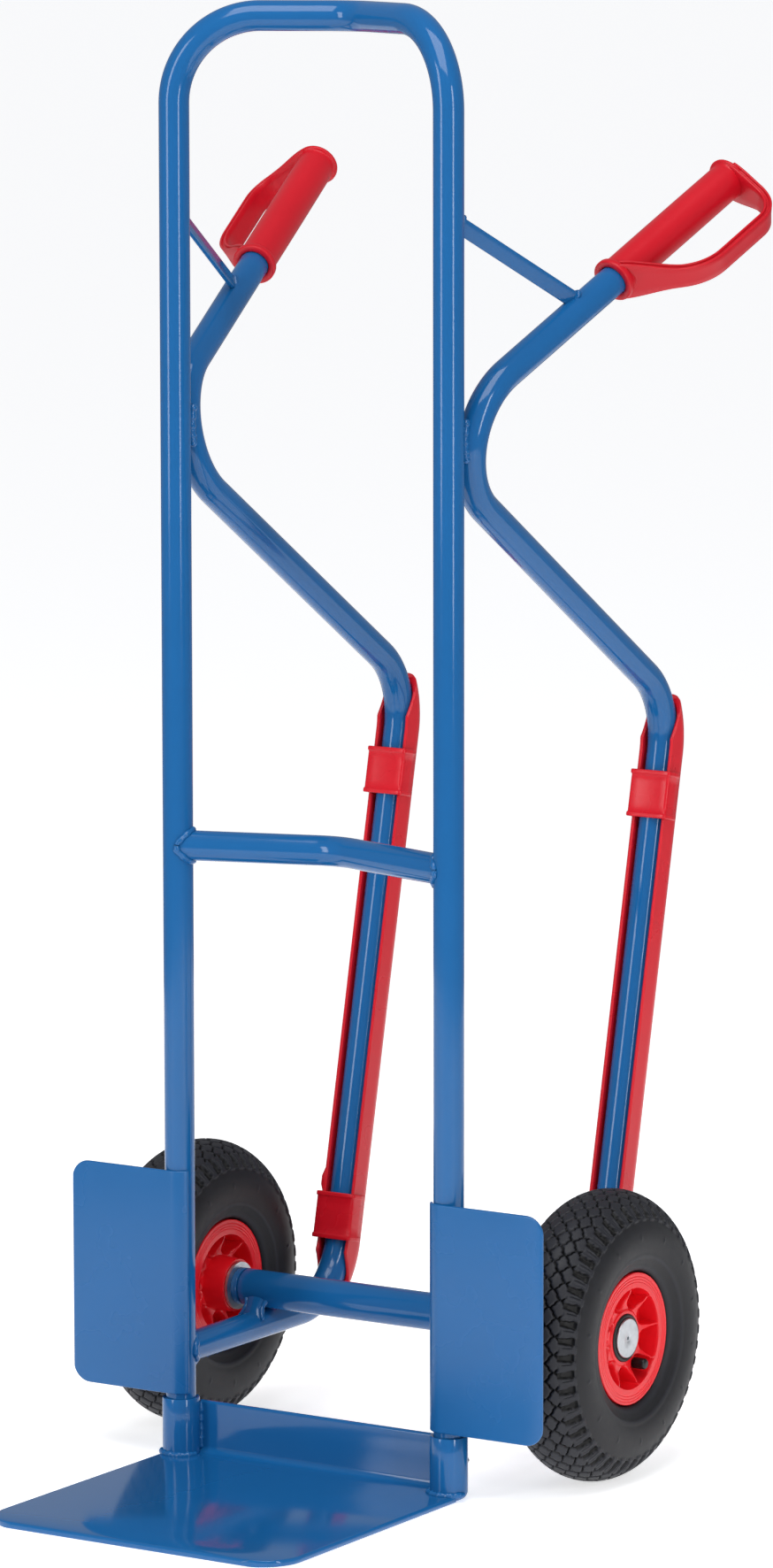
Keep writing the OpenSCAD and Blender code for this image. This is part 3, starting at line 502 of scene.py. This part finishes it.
# --- Axle tube, collars and gussets ----------------------------------------------------------
# A steel tube 33.7 mm across lies on the two arms; a turned collar with a groove closes each
# end, and a small saddle web fills the corner between each arm and the tube.
AXLE = np.array([0, 136.0, 130.0])
AXLE_TUBE_R = 16.85
axle_profile = [[14.0, -160.5], [16.2, -160.5], [16.85, -159.8], [16.85, 0], [16.85, 159.8], [16.2, 160.5], [14.0, 160.5]]
fit_piece(spun("axle_cross_tube", axle_profile, AXLE, (1, 0, 0), looped=False), blue_enamel, "frame", "frame_blue", "axle_tube")
collar_profile = [[10.05, -24], [13.4, -24], [13.4, 0], [14.6, 0.2], [14.6, 1.8], [16.3, 2.0], [16.85, 2.6], [16.85, 7.2], [16.2, 8.0], [10.05, 8.0]]
for side, label in SIDES:
    fit_piece(
        spun("axle_collar_" + label, collar_profile, AXLE + (side * 160.5, 0, 0), (side, 0, 0)),
        blue_enamel, "frame", "frame_blue", "axle_bush_" + label,
    )
    web_u = np.linspace(0, 1, 14)
    web_half = 12.5 - 4.2 * np.sin(np.pi * web_u)
    web_path = np.stack([0 * web_u + UPRIGHT_X, 111.5 + 13.0 * web_u, 106.0 + 21.5 * web_u], -1)
    web_section = rounded_box(2, 2, 0.99, 4)[None] * np.stack([web_half, 0 * web_u + 3.4], -1)[:, None]
    fit_piece(
        solid("gusset_web_" + label, to_side(carried(web_path, (1, 0, 0), web_section), side), crease=60),
        blue_enamel, "frame", "frame_blue", "axle_gusset_" + label,
    )
    for turn, edge_label in ((1, "outer"), (-1, "inner")):
        web_seam = np.stack([UPRIGHT_X + turn * (web_half + 0.5), 112.5 + 12.0 * web_u, 107.0 + 19.5 * web_u], -1)
        weld_bead(f"weld_web_{edge_label}_{label}", web_seam, 2.0, side, away=(1, 0, 0))


# --- Grips --------------------------------------------------------------------------------------
# Each grip is one soft moulding in deep red plastic: a sleeve with a collar at both ends, a domed
# closed top, and a guard strap that leaves the collars as a wide belt and narrows beside the hand.
red_moulding = enamel("red_moulded_soft_plastic", "#BE0F20", 0.34, 0.9, 0.06, tone=0.06, ior=1.36)
GRIP_X = np.array([0.93297993, 0.01029871, -0.35978102])
GRIP_Y = np.array([-0.31579628, 0.50301025, -0.8045206])


def on_handle(points):
    """Points given as (guard side, across, distance along the handle) put on the right handle."""
    p = np.asarray(points, float)
    return ELBOW + p[..., :1] * GRIP_X + p[..., 1:2] * GRIP_Y + p[..., 2:] * HANDLE


dome = np.linspace(0, 1.36, 8)
sleeve_profile = np.concatenate([
    [[13.8, 300], [13.7, 271.2], [14.4, 270.2], [19.0, 270.0], [19.8, 270.5], [20.0, 271.4], [20.0, 274.6], [19.7, 275.5], [18.9, 276.0],
     [17.6, 276.4], [17.1, 277.4], [17.0, 279.5]],
    np.stack([17.0 + 0.12 * np.sin(np.linspace(0, np.pi, 12)), np.linspace(285, 434, 12)], -1),
    [[17.0, 438.5], [17.1, 440.6], [17.6, 441.6], [18.9, 442.0], [19.7, 442.4], [20.0, 443.3]],
    np.stack([20.0 - 19.0 * np.sin(dome * 0.5) ** 2 * 2.0 / 1.6, 444.0 + 3.9 * np.sin(dome)], -1),
    [[1.0, 447.95]],
])
sleeve_profile[:, 0] = np.maximum(sleeve_profile[:, 0], 1.0)
sleeve_angle = np.arange(64) * 2 * np.pi / 64
sleeve_rings = on_handle(np.stack(np.broadcast_arrays(
    sleeve_profile[:, :1] * np.cos(sleeve_angle), sleeve_profile[:, :1] * np.sin(sleeve_angle), sleeve_profile[:, 1:],
), -1))
strap_path = bent_path([(4.0, 0, 274.6), (60, 0, 327), (60, 0, 436), (3.0, 0, 444.4)], [58, 30], 4.0)
strap_path = strap_path[np.r_[True, np.linalg.norm(np.diff(strap_path, axis=0), axis=1) > 0.4]]
strap_run = np.r_[0, np.cumsum(np.linalg.norm(np.diff(strap_path, axis=0), axis=1))]
even = np.linspace(0, strap_run[-1], 110)
strap_path = np.stack([np.interp(even, strap_run, strap_path[:, k]) for k in range(3)], -1)
low_part = np.clip(even / 58, 0, 1)
high_part = np.clip((even[-1] - even) / 46, 0, 1)
strap_half = 10.8 + 8.9 * (1 - low_part) ** 2 * (1 + 2 * low_part) + 8.1 * (1 - high_part) ** 2 * (1 + 2 * high_part)
strap_thick = 3.55 + 0 * even
half_side = np.array([
    [-0.82, 1.0], [-0.95, 0.88], [-1.0, 0.66], [-0.97, 0.5], [-0.86, 0.4], [-0.4, 0.3], [-0.32, 0.0], [-0.4, -0.3], [-0.86, -0.4], [-0.97, -0.5], [-1.0, -0.66], [-0.95, -0.88], [-0.82, -1.0],
])
for side, label in SIDES:
    fit_piece(
        solid("grip_sleeve_" + label, to_side(sleeve_rings, side), crease=60), red_moulding, "frame", "grip_red", "grip_" + label,
    )
    left_side = np.stack([
        -(strap_half[:, None] - 3.4 * (1 + half_side[None, :, 0])), strap_thick[:, None] * half_side[None, :, 1],
    ], -1)
    crown = 0.5 * np.array([0.6, 1.0, 0.6])
    top_line = np.stack([strap_half[:, None] * np.array([-0.45, 0.0, 0.45]), -(strap_thick[:, None] - crown * 0.6)], -1)
    bottom_line = np.stack([strap_half[:, None] * np.array([0.45, 0.0, -0.45]), strap_thick[:, None] - crown * 0.6], -1)
    strap_section = np.concatenate([left_side, top_line, -left_side, bottom_line], 1)
    strap_rings = on_handle(carried(strap_path, (0, 1, 0), strap_section))
    fit_piece(solid("grip_strap_" + label, to_side(strap_rings, side), crease=50), red_moulding, "frame", "grip_red")


# --- Skids ------------------------------------------------------------------------------------------
# Each skid is a moulded plastic channel pushed over the back of the skid run, so that the truck slides
# up stairs. Its side walls stop before its back does at both ends, and a shoulder sits above the low clip.
red_channel = enamel("red_extruded_plastic", "#CB1424", 0.28, 1.2, 0.05, tone=0.05, ior=1.36)
SKID_IN, SKID_OUT, SKID_SHIFT, SKID_LIP = 13.9, 17.1, 4.3, 11.0
up_run = unit(SKID_TOP - SKID_FOOT)
low_turn = np.arccos(unit(SKID_FOOT - ARM_START) @ up_run)
high_turn = np.arccos(up_run @ unit(ELBOW - SKID_TOP))


def bend_rings(before, node, after, turn, first, last, count):
    """Centre points, tangents and outward sides from first to last degrees round the bend of radius 70 at node."""
    d, e = unit(node - before), unit(after - node)
    inward = unit(e - d * (d @ e))
    a = np.radians(np.linspace(first, last, count))[:, None]
    start = node - d * 70 * np.tan(turn / 2)
    return (
        start + 70 * (d * np.sin(a) + inward * (1 - np.cos(a))), d * np.cos(a) + inward * np.sin(a), d * np.sin(a) - inward * np.cos(a),
    )


low_deg, high_deg = np.degrees(low_turn), np.degrees(high_turn)
low_p, low_t, low_o = bend_rings(ARM_START, SKID_FOOT, SKID_TOP, low_turn, low_deg - 34, low_deg, 26)
high_p, high_t, high_o = bend_rings(SKID_FOOT, SKID_TOP, ELBOW, high_turn, 0, 36, 28)
steps = np.linspace(0, 1, 60)[1:-1, None]
mid_p = low_p[-1] + (high_p[0] - low_p[-1]) * steps
skid_p = np.concatenate([low_p, mid_p, high_p])
skid_t = np.concatenate([low_t, np.repeat(up_run[None], len(steps), 0), high_t])
skid_o = np.concatenate([low_o, np.repeat(low_o[-1:], len(steps), 0), high_o])
skid_s = np.r_[0, np.cumsum(np.linalg.norm(np.diff(skid_p, axis=0), axis=1))]
ends = np.minimum(skid_s / 27, (skid_s[-1] - skid_s) / 30)
front = np.where(ends < 1, -15.5 + (SKID_LIP + 15.5) * np.clip(ends, 0, 1) ** 0.8, SKID_LIP)
tip = np.sqrt(np.clip(np.minimum(skid_s, skid_s[-1] - skid_s) / 2.0 + 0.1, 0, 1))
from_foot = ((skid_p - SKID_FOOT) @ up_run)
shoulder = 3.0 * np.clip((from_foot - 98.8) / 0.6, 0, 1) * np.clip((98.8 + 19.5 - from_foot) / 0.6, 0, 1)


def channel_line(radius, shift, lip, count):
    """Half of a channel's outline from its back to its lip, by run: a quarter circle of the radius about
    shift, then a straight wall; the wall may end inside the quarter circle when the lip lies behind it."""
    lip = np.asarray(lip, float)[:, None]
    reach = -lip - shift
    whole = np.where(reach > 0, radius * np.arccos(np.clip(reach / radius, -1, 1)), radius * np.pi / 2 - reach)
    s = whole * np.linspace(0, 1, count)
    a = np.minimum(s / radius, np.pi / 2)
    return np.stack([shift + radius * np.cos(a) - np.maximum(s - radius * np.pi / 2, 0), radius * np.sin(a)], -1)


skid_wide = 1 - (1 - tip[:, None]) * 0.12
inner_half = channel_line(SKID_IN, 0.0, front, 14)
outer_half = channel_line(SKID_OUT, SKID_SHIFT, front, 18)
outer_half[..., 1] *= skid_wide
outer_low = outer_half * (1, -1)
outer_low[..., 1] -= shoulder[:, None] * np.clip((3 - outer_half[..., 0]) / 1.0, 0, 1)
lip_round = 0.5 * (inner_half[:, -1:] + outer_half[:, -1:]) + np.array([[-1.3, 0.0]])
lip_low = 0.5 * (inner_half[:, -1:] * (1, -1) + outer_low[:, -1:]) + np.array([[-1.3, 0.0]])
skid_section = np.concatenate([
    outer_half[:, :0:-1], outer_low, lip_low, inner_half[:, :0:-1] * (1, -1), inner_half, lip_round,
], 1)
skid_y = np.cross(skid_t, skid_o)
skid_rings = skid_p[:, None] + skid_o[:, None] * skid_section[..., :1] + skid_y[:, None] * skid_section[..., 1:]
for side, label in SIDES:
    fit_piece(
        solid("skid_channel_" + label, to_side(skid_rings, side), crease=50), red_channel, "frame", "skid_red", "skid_" + label,
    )


# --- Skid clips ------------------------------------------------------------------------------------------
# Two C-shaped clips hold each skid: moulded plastic 43 mm high with a raised rim at top and bottom and
# a slightly hollow front. They snap over the open side of the channel and hide the tube there.
clip_red = enamel("red_clip_plastic", "#CB1323", 0.28, 1.0, 0.05, tone=0.06, ior=1.36)
CLIP_H, CLIP_IN, CLIP_T, CLIP_HOOK, CLIP_CORNER = 43.0, 17.4, 2.8, 3.0, 3.0
clip_z = np.array([-21.5, -21.35, -20.9, -20.2, -18.6, -17.9, -17.4, -16.8, -9, 0, 9, 16.8, 17.4, 17.9, 18.6, 20.2, 20.9, 21.35, 21.5])
rim_out = 0.8 * np.clip((np.abs(clip_z) - 17.0) / 0.9, 0, 1) - 0.7 * (1 - np.sqrt(np.clip(1 - ((np.abs(clip_z) - 20.5) / 1.0).clip(0, 1) ** 2, 0, 1)))
corner = np.linspace(0, np.pi / 2, 6)
clip_front, clip_wide = TUBE_R + 0.3 + CLIP_T + rim_out, CLIP_IN + CLIP_T + rim_out
hollow = 0.9 * (1 - (clip_z / 21.5) ** 2).clip(0, 1)
half_out = np.concatenate([
    np.stack(np.broadcast_arrays(np.array([CLIP_HOOK, CLIP_HOOK - 1.0, -4.0]), clip_wide[:, None]), -1),
    np.stack([-(clip_front[:, None] - CLIP_CORNER) - CLIP_CORNER * np.sin(corner), clip_wide[:, None] - CLIP_CORNER * (1 - np.cos(corner))], -1),
    np.stack(np.broadcast_arrays(-(clip_front[:, None] - hollow[:, None] * np.array([0.45, 0.85])), clip_wide[:, None] * np.array([0.55, 0.2])), -1),
], 1)
half_out[:, 0, 1] -= 0.9
half_in = np.array([[CLIP_HOOK, CLIP_IN], [-4.0, CLIP_IN], [-TUBE_R + 0.9, CLIP_IN], [-TUBE_R - 0.3, CLIP_IN - 1.2], [-TUBE_R - 0.3, 6.0], [-TUBE_R - 0.3, 2.0]])
half_in = np.repeat(half_in[None], len(clip_z), 0)
clip_section = np.concatenate([half_out, half_out[:, ::-1] * (1, -1), half_in * (1, -1), half_in[:, ::-1]], 1)
run_length = np.linalg.norm(SKID_TOP - SKID_FOOT)
for at, place_label in ((77.0, "lower"), (run_length - 88.0, "upper")):
    clip_path = SKID_FOOT + up_run * (at + clip_z)[:, None]
    clip_rings = carried(clip_path, low_o[-1], clip_section, up_run)
    for side, label in SIDES:
        fit_piece(
            solid(f"clip_{place_label}_moulding_{label}", to_side(clip_rings, side), crease=45), clip_red, "frame", "skid_red",
            f"skid_clip_{place_label}_{label}",
        )


# --- Tyres ---------------------------------------------------------------------------------------------------
# Pneumatic tyres of black rubber, 260 by 85 mm, moulded in one go: a crown of diamond blocks, deep lugs on
# both shoulders, a smooth side wall with fine rings, and small nibs where the mould was vented.
def tyre_rubber():
    """Matt carbon-black rubber: a colour ramp on the tread height paints shade into the grooves and paints the raised
    block tops lighter, as if lit; dust at 8 mm clouds.
    """
    material, tree = empty_material("vulcanised_black_rubber")
    place = add_node(tree, "ShaderNodeTexCoord").outputs["Object"]
    dust = add_node(tree, "ShaderNodeTexNoise", {"Vector": place}, Scale=1 / 0.008, Detail=4.0, Roughness=0.6).outputs["Fac"]
    # Painted shade and light: the tread height stored on the mesh darkens the grooves and lightens the raised block
    # tops through the colour ramp.
    relief_for_painted_shade = add_node(tree, "ShaderNodeAttribute", attribute_name="relief_for_painted_shade").outputs["Fac"]
    dust_and_painted_shade = add_node(tree, "ShaderNodeMath", {0: dust}, operation="MULTIPLY_ADD")
    tree.links.new(relief_for_painted_shade, dust_and_painted_shade.inputs[2])
    dust_and_painted_shade.inputs[1].default_value = 0.35
    ramp = add_node(tree, "ShaderNodeValToRGB", {"Fac": dust_and_painted_shade.outputs["Value"]})
    ramp.color_ramp.elements[0].position, ramp.color_ramp.elements[0].color = 0.5, linear("#060607")
    ramp.color_ramp.elements[1].position, ramp.color_ramp.elements[1].color = 1.15, linear("#202127")
    haze = add_node(tree, "ShaderNodeMapRange", {"Value": dust}, To_Min=0.42, To_Max=0.62).outputs["Result"]
    skin = add_node(tree, "ShaderNodeTexNoise", {"Vector": place}, Scale=1 / 0.0012, Detail=2.0).outputs["Fac"]
    bump = add_node(tree, "ShaderNodeBump", {"Height": skin}, Strength=0.3, Distance=0.0002)
    shade = add_node(
        tree, "ShaderNodeBsdfPrincipled", {"Base Color": ramp.outputs["Color"], "Roughness": haze, "Normal": bump.outputs["Normal"]}, IOR=1.38,
    )
    finish_surface(tree, shade.outputs["BSDF"])
    return material


black_rubber = tyre_rubber()
WHEEL_X, SECTION_AT, SECTION_R, LUGS = 215.5, 87.5, 42.5, 48


def ramp_up(x, low, high):
    """Smooth step from 0 at low to 1 at high: t t (3 - 2 t)."""
    t = np.clip((x - low) / (high - low), 0, 1)
    return t * t * (3 - 2 * t)


phi = np.radians(np.concatenate([np.linspace(-131.6, -66, 22)[:-1], np.linspace(-66, 66, 94), np.linspace(66, 131.6, 22)[1:]]))[:, None]
theta = (np.arange(720) * 2 * np.pi / 720)[None]
lug_run, over = theta * LUGS / (2 * np.pi), phi * 42.3 / 17.0
lines = [lug_run + over, lug_run - over]
groove = np.ones((phi.size, theta.size))
for one, other in (lines, lines[::-1]):
    stepped = one + 0.055 * np.tanh(5 * np.sin(2 * np.pi * other))
    groove = groove * ramp_up(np.abs(stepped - np.round(stepped)) * 12.0, 0.4, 0.85)
lean = np.abs(np.degrees(phi))
share = np.abs((lug_run + 0.25 * np.sign(phi)) % 1 - 0.5)
lug = ramp_up(0.33 - 0.09 * ramp_up(lean, 44, 62) - share, -0.03, 0.03)
lug = lug - 0.25 * np.exp(-((share * 17 - 1.9) / 0.55) ** 2) * ramp_up(lean, 42, 46)
crown = ramp_up(-lean, -41.5, -38.5)
tread = crown * groove + (1 - crown) * lug
tread = tread * ramp_up(-lean, -65, -61.5)
height = 39.7 + 2.6 * tread - 1.5 * ramp_up(lean, 41, 46) * (1 - lug) * ramp_up(-lean, -62, -59) + 1.4 * ramp_up(lean, 57, 66)
ring_at = SECTION_AT + 42 * np.cos(phi)
for ring_r, ring_w, ring_h in ((107.4, 0.9, 1.2), (97.0, 0.7, 0.5), (73.5, 0.9, 0.9), (63.0, 1.6, 0.9)):
    height = height + ring_h * np.exp(-((ring_at - ring_r) / ring_w) ** 2) * (lean > 60)
nib_turn = np.minimum((theta * 14 / (2 * np.pi)) % 1, 1 - (theta * 14 / (2 * np.pi)) % 1) * 2 * np.pi / 14
height = height + 1.1 * np.exp(-(((lean - 84) / 1.3) ** 2 + (nib_turn * 90 / 1.3) ** 2))
height = np.minimum(height, SECTION_R - 0.1)
along_axle, from_axle = height * np.sin(phi), SECTION_AT + height * np.cos(phi)
# Painted shade and light: this tread height goes to the rubber's colour ramp, dark in the grooves and lighter on the
# block tops.
relief_for_painted_shade = np.clip((height - 39.7) / 2.6, 0, 1)
for side, label in SIDES:
    rings = np.stack([
        side * (WHEEL_X + along_axle), AXLE[1] - from_axle * np.sin(theta), AXLE[2] + from_axle * np.cos(theta),
    ], -1)
    tyre = solid("tyre_casing_" + label, rings, looped=True, crease=75)
    tyre.data.attributes.new("relief_for_painted_shade", "FLOAT", "POINT").data.foreach_set("value", relief_for_painted_shade.astype(np.float32).ravel())
    fit_piece(tyre, black_rubber, "wheel_" + label, "tyre_rubber", "tyre_" + label)


# --- Rims --------------------------------------------------------------------------------------------------------
# One-piece rims moulded in glossy red plastic: a flat flange ring with fine turned grooves, a deep bowl, nine
# ribs that flare into the hub, and a hub boss on each side that holds the bearings.
rim_plastic = enamel("red_glossy_moulded_nylon", "#E01520", 0.24, 2.5, 0.04, tone=0.04, ior=1.4)
RIBS, VALVE_TURN = 9, 217.0
alpha = (np.arange(540) * 2 * np.pi / 540)[None]
rib_off = ((np.degrees(alpha) - VALVE_TURN) / (360 / RIBS) % 1 - 0.5) * 2 * np.pi / RIBS


def rim_face(hub_face, boss_r):
    """Rows of (radius, height above the wheel's middle) from the hub bore out to the flange's edge. Between hub
    and bowl the height falls from a rib's crest to the pocket's floor by a smooth step of the distance beside it."""
    bore = np.array([[18.2, 2.0], [18.2, hub_face - 0.6], [18.8, hub_face]])
    r = np.concatenate([np.linspace(boss_r - 2.5, boss_r + 1, 7), np.linspace(boss_r + 1.6, 43.2, 30), np.linspace(43.4, 46.4, 12)])[:, None]
    beside = np.abs(r * np.sin(rib_off))
    half = 0.75 + 0.9 * ramp_up(-r, -40, -32) + 3.2 * ramp_up(-r, -33, -25) ** 1.5
    spread = 1.3 + 3.4 * ramp_up(-r, -41, -27)
    crest = 28.6 - 5.5 * ramp_up(-r, -44, -28)
    floor_z = 13.0 + 8.0 * ramp_up(-r, -34, -25.5)
    wall = ramp_up(r, 43.3, 45.2)
    height = floor_z + (crest - floor_z) * ramp_up(half + spread - beside, 0, spread) ** 1.0
    height = height * (1 - wall) + 31.9 * wall
    boss = ramp_up(-r, -(boss_r + 0.9), -(boss_r - 0.6))
    height = height * (1 - boss) + hub_face * boss
    outer_r = np.concatenate([np.linspace(46.9, 58.2, 34), [58.6, 58.85, 58.95]])[:, None]
    fine = 0.28 * (0.5 + 0.5 * np.cos(2 * np.pi * (outer_r - 50.6) / 2.5)) * ramp_up(outer_r, 49.6, 50.6) * ramp_up(-outer_r, -57.6, -56.8)
    outer_z = 31.9 - fine - np.concatenate([np.zeros(34), [0.15, 0.5, 1.2]])[:, None]
    turn_back = np.array([[58.9, 28.6], [57.6, 28.0]])
    radii = np.concatenate([bore[:, :1], r, outer_r, turn_back[:, :1]])
    heights = np.concatenate([
        np.repeat(bore[:, 1:], alpha.size, 1), height, np.repeat(outer_z, alpha.size, 1), np.repeat(turn_back[:, 1:], alpha.size, 1),
    ])
    return np.repeat(radii, alpha.size, 1), heights


outside_r, outside_x = rim_face(24.2, 24.6)
inside_r, inside_x = rim_face(43.8, 24.6)
rim_r, rim_x = np.concatenate([outside_r, inside_r[::-1]]), np.concatenate([outside_x, -inside_x[::-1]])
for side, label in SIDES:
    rings = np.stack([side * (WHEEL_X + rim_x), AXLE[1] - rim_r * np.sin(alpha), AXLE[2] + rim_r * np.cos(alpha)], -1)
    fit_piece(solid("rim_moulding_" + label, rings, looped=True, crease=38), rim_plastic, "wheel_" + label, "rim_red", "rim_" + label)


# --- Hub seals, end washers and screws ----------------------------------------------------------------------------
# A black rubber lip closes the bearing. In front of it a zinc-plated steel disc holds the wheel on the axle,
# pulled in by a small countersunk socket screw.
def zinc_plate():
    """Passivated zinc on steel: a metal with pale spangle in 2 mm flakes and a milky haze between them."""
    material, tree = empty_material("zinc_plated_steel")
    place = add_node(tree, "ShaderNodeTexCoord").outputs["Object"]
    flake = add_node(tree, "ShaderNodeTexVoronoi", {"Vector": place}, Scale=1 / 0.002).outputs["Color"]
    cloud = add_node(tree, "ShaderNodeTexNoise", {"Vector": place}, Scale=1 / 0.006, Detail=3.0).outputs["Fac"]
    mixed = add_node(tree, "ShaderNodeMix", {0: cloud}, data_type="RGBA")
    mixed.inputs[6].default_value, mixed.inputs[7].default_value = linear("#A9ADB2"), linear("#D2D5D8")
    level = add_node(tree, "ShaderNodeRGBToBW", {"Color": flake}).outputs["Val"]
    haze = add_node(tree, "ShaderNodeMapRange", {"Value": level}, To_Min=0.3, To_Max=0.5).outputs["Result"]
    shade = add_node(tree, "ShaderNodeBsdfPrincipled", {"Base Color": mixed.outputs[2], "Roughness": haze}, Metallic=1.0)
    finish_surface(tree, shade.outputs["BSDF"])
    return material


zinc_steel = zinc_plate()
seal_rubber = enamel("black_seal_rubber", "#131416", 0.4, 1.0, 0.03, tone=0.1)
bearing_steel = enamel("dark_bearing_steel", "#3A3B3E", 0.3, 1.0, 0.02, tone=0.08)
seal_profile = [[17.7, 22.2], [17.9, 24.9], [18.6, 25.7], [19.7, 25.9], [20.8, 25.5], [21.4, 24.6], [21.6, 22.6]]
disc_profile = [[3.9, 0.0], [17.0, 0.0], [17.6, 0.4], [17.8, 1.2], [17.6, 2.2], [17.0, 2.75], [10.0, 2.8], [3.6, 2.8], [3.0, 2.5]]
hex_turn = np.pi / 3


def hex_hole(r, d, a):
    """Draws the inner rows of a spun screw head to a hexagon: r becomes r / cos of the angle from the nearest flat."""
    off = (a + hex_turn / 2) % hex_turn - hex_turn / 2
    return np.where(r < 2.2, r / np.cos(off) - r, 0 * a)


screw_profile = [[2.8, 0.4], [3.4, 2.2], [3.2, 2.5], [2.5, 2.45], [1.6, 2.3], [1.55, 0.5], [0.4, 0.45]]
for side, label in SIDES:
    middle = AXLE + (side * WHEEL_X, 0, 0)
    fit_piece(spun("seal_lip_" + label, seal_profile, middle, (side, 0, 0)), seal_rubber, "wheel_" + label, "tyre_rubber")
    disc_place = AXLE + (side * 240.3, 0, 0)
    fit_piece(spun("end_disc_" + label, disc_profile, disc_place, (side, 0, 0)), zinc_steel, "frame", "zinc_steel", "end_washer_" + label)
    screw = spun("socket_screw_" + label, screw_profile, disc_place, (side, 0, 0), 48, looped=False, ripple=hex_hole)
    fit_piece(screw, zinc_steel, "frame", "zinc_steel", "end_screw_" + label)
    for part in ("inner_washer_", "hub_spacer_"):
        finish_node(part + label, zinc_steel)
    for part in ("inner_bearing_", "outer_bearing_"):
        finish_node(part + label, bearing_steel)
    finish_node("inner_tube_" + label, seal_rubber)
for part in ("axle_shaft", "socket_bolts", "socket_nuts"):
    finish_node(part, zinc_steel)


# --- Valves -------------------------------------------------------------------------------------------------------------
# A bent brass stem comes out of the rim's barrel and turns outward between two ribs. A black moulded
# cap with sixteen grip ridges and a rounded end closes it.
def brass_bar():
    """Turned brass: a warm metal with fine lathe rings about 0.4 mm apart, drawn by a wave along the axle."""
    material, tree = empty_material("turned_brass")
    place = add_node(tree, "ShaderNodeTexCoord").outputs["Object"]
    cloud = add_node(tree, "ShaderNodeTexNoise", {"Vector": place}, Scale=1 / 0.003).outputs["Fac"]
    mixed = add_node(tree, "ShaderNodeMix", {0: cloud}, data_type="RGBA")
    mixed.inputs[6].default_value, mixed.inputs[7].default_value = linear("#A87A2C"), linear("#CFA050")
    haze = add_node(tree, "ShaderNodeMapRange", {"Value": cloud}, To_Min=0.2, To_Max=0.35).outputs["Result"]
    lathe = add_node(tree, "ShaderNodeTexWave", {"Vector": place}, Scale=1 / 0.0004 / 6.28).outputs["Fac"]
    bump = add_node(tree, "ShaderNodeBump", {"Height": lathe}, Strength=0.2, Distance=0.0001)
    shade = add_node(
        tree, "ShaderNodeBsdfPrincipled", {"Base Color": mixed.outputs[2], "Roughness": haze, "Normal": bump.outputs["Normal"]}, Metallic=1.0,
    )
    finish_surface(tree, shade.outputs["BSDF"])
    return material


turned_brass = brass_bar()
cap_plastic = enamel("black_moulded_cap", "#121214", 0.35, 0.8, 0.03, tone=0.1)
down = np.array([0, -np.sin(np.radians(VALVE_TURN)), np.cos(np.radians(VALVE_TURN))])
cap_profile = [[3.1, 21.0], [4.6, 21.0], [4.95, 21.5], [4.95, 31.4], [4.6, 33.0], [3.6, 34.1], [2.0, 34.5], [0.5, 34.5]]


def cap_ridges(r, d, a):
    """Sixteen ridges: the radius sinks by 0.4 (1 - cos 16 a) / 2 mm along the cap's grip."""
    return -0.45 * (1 - np.cos(16 * a)) / 2 * ramp_up(d, 21.3, 22.3) * ramp_up(-d, -32.5, -31.0)


for side, label in SIDES:
    bend_at = AXLE + (side * WHEEL_X, 0, 0) + down * 33
    stem_path = bent_path([
        AXLE + (side * (WHEEL_X + 12), 0, 0) + down * 48.5, AXLE + (side * (WHEEL_X + 12), 0, 0) + down * 33, bend_at + (side * 26, 0, 0),
    ], [5], 8)
    fit_piece(
        solid("brass_stem_" + label, carried(stem_path, (0.2, 0.3, 1), circle(3.0, 32))), turned_brass, "wheel_" + label, "valve_brass",
        "valve_stem_" + label,
    )
    fit_piece(
        spun("ridged_cap_" + label, np.array(cap_profile)[1:], bend_at, (side, 0, 0), 96, looped=False, crease=60, ripple=cap_ridges),
        cap_plastic, "wheel_" + label, "cap_black", "valve_cap_" + label,
    )
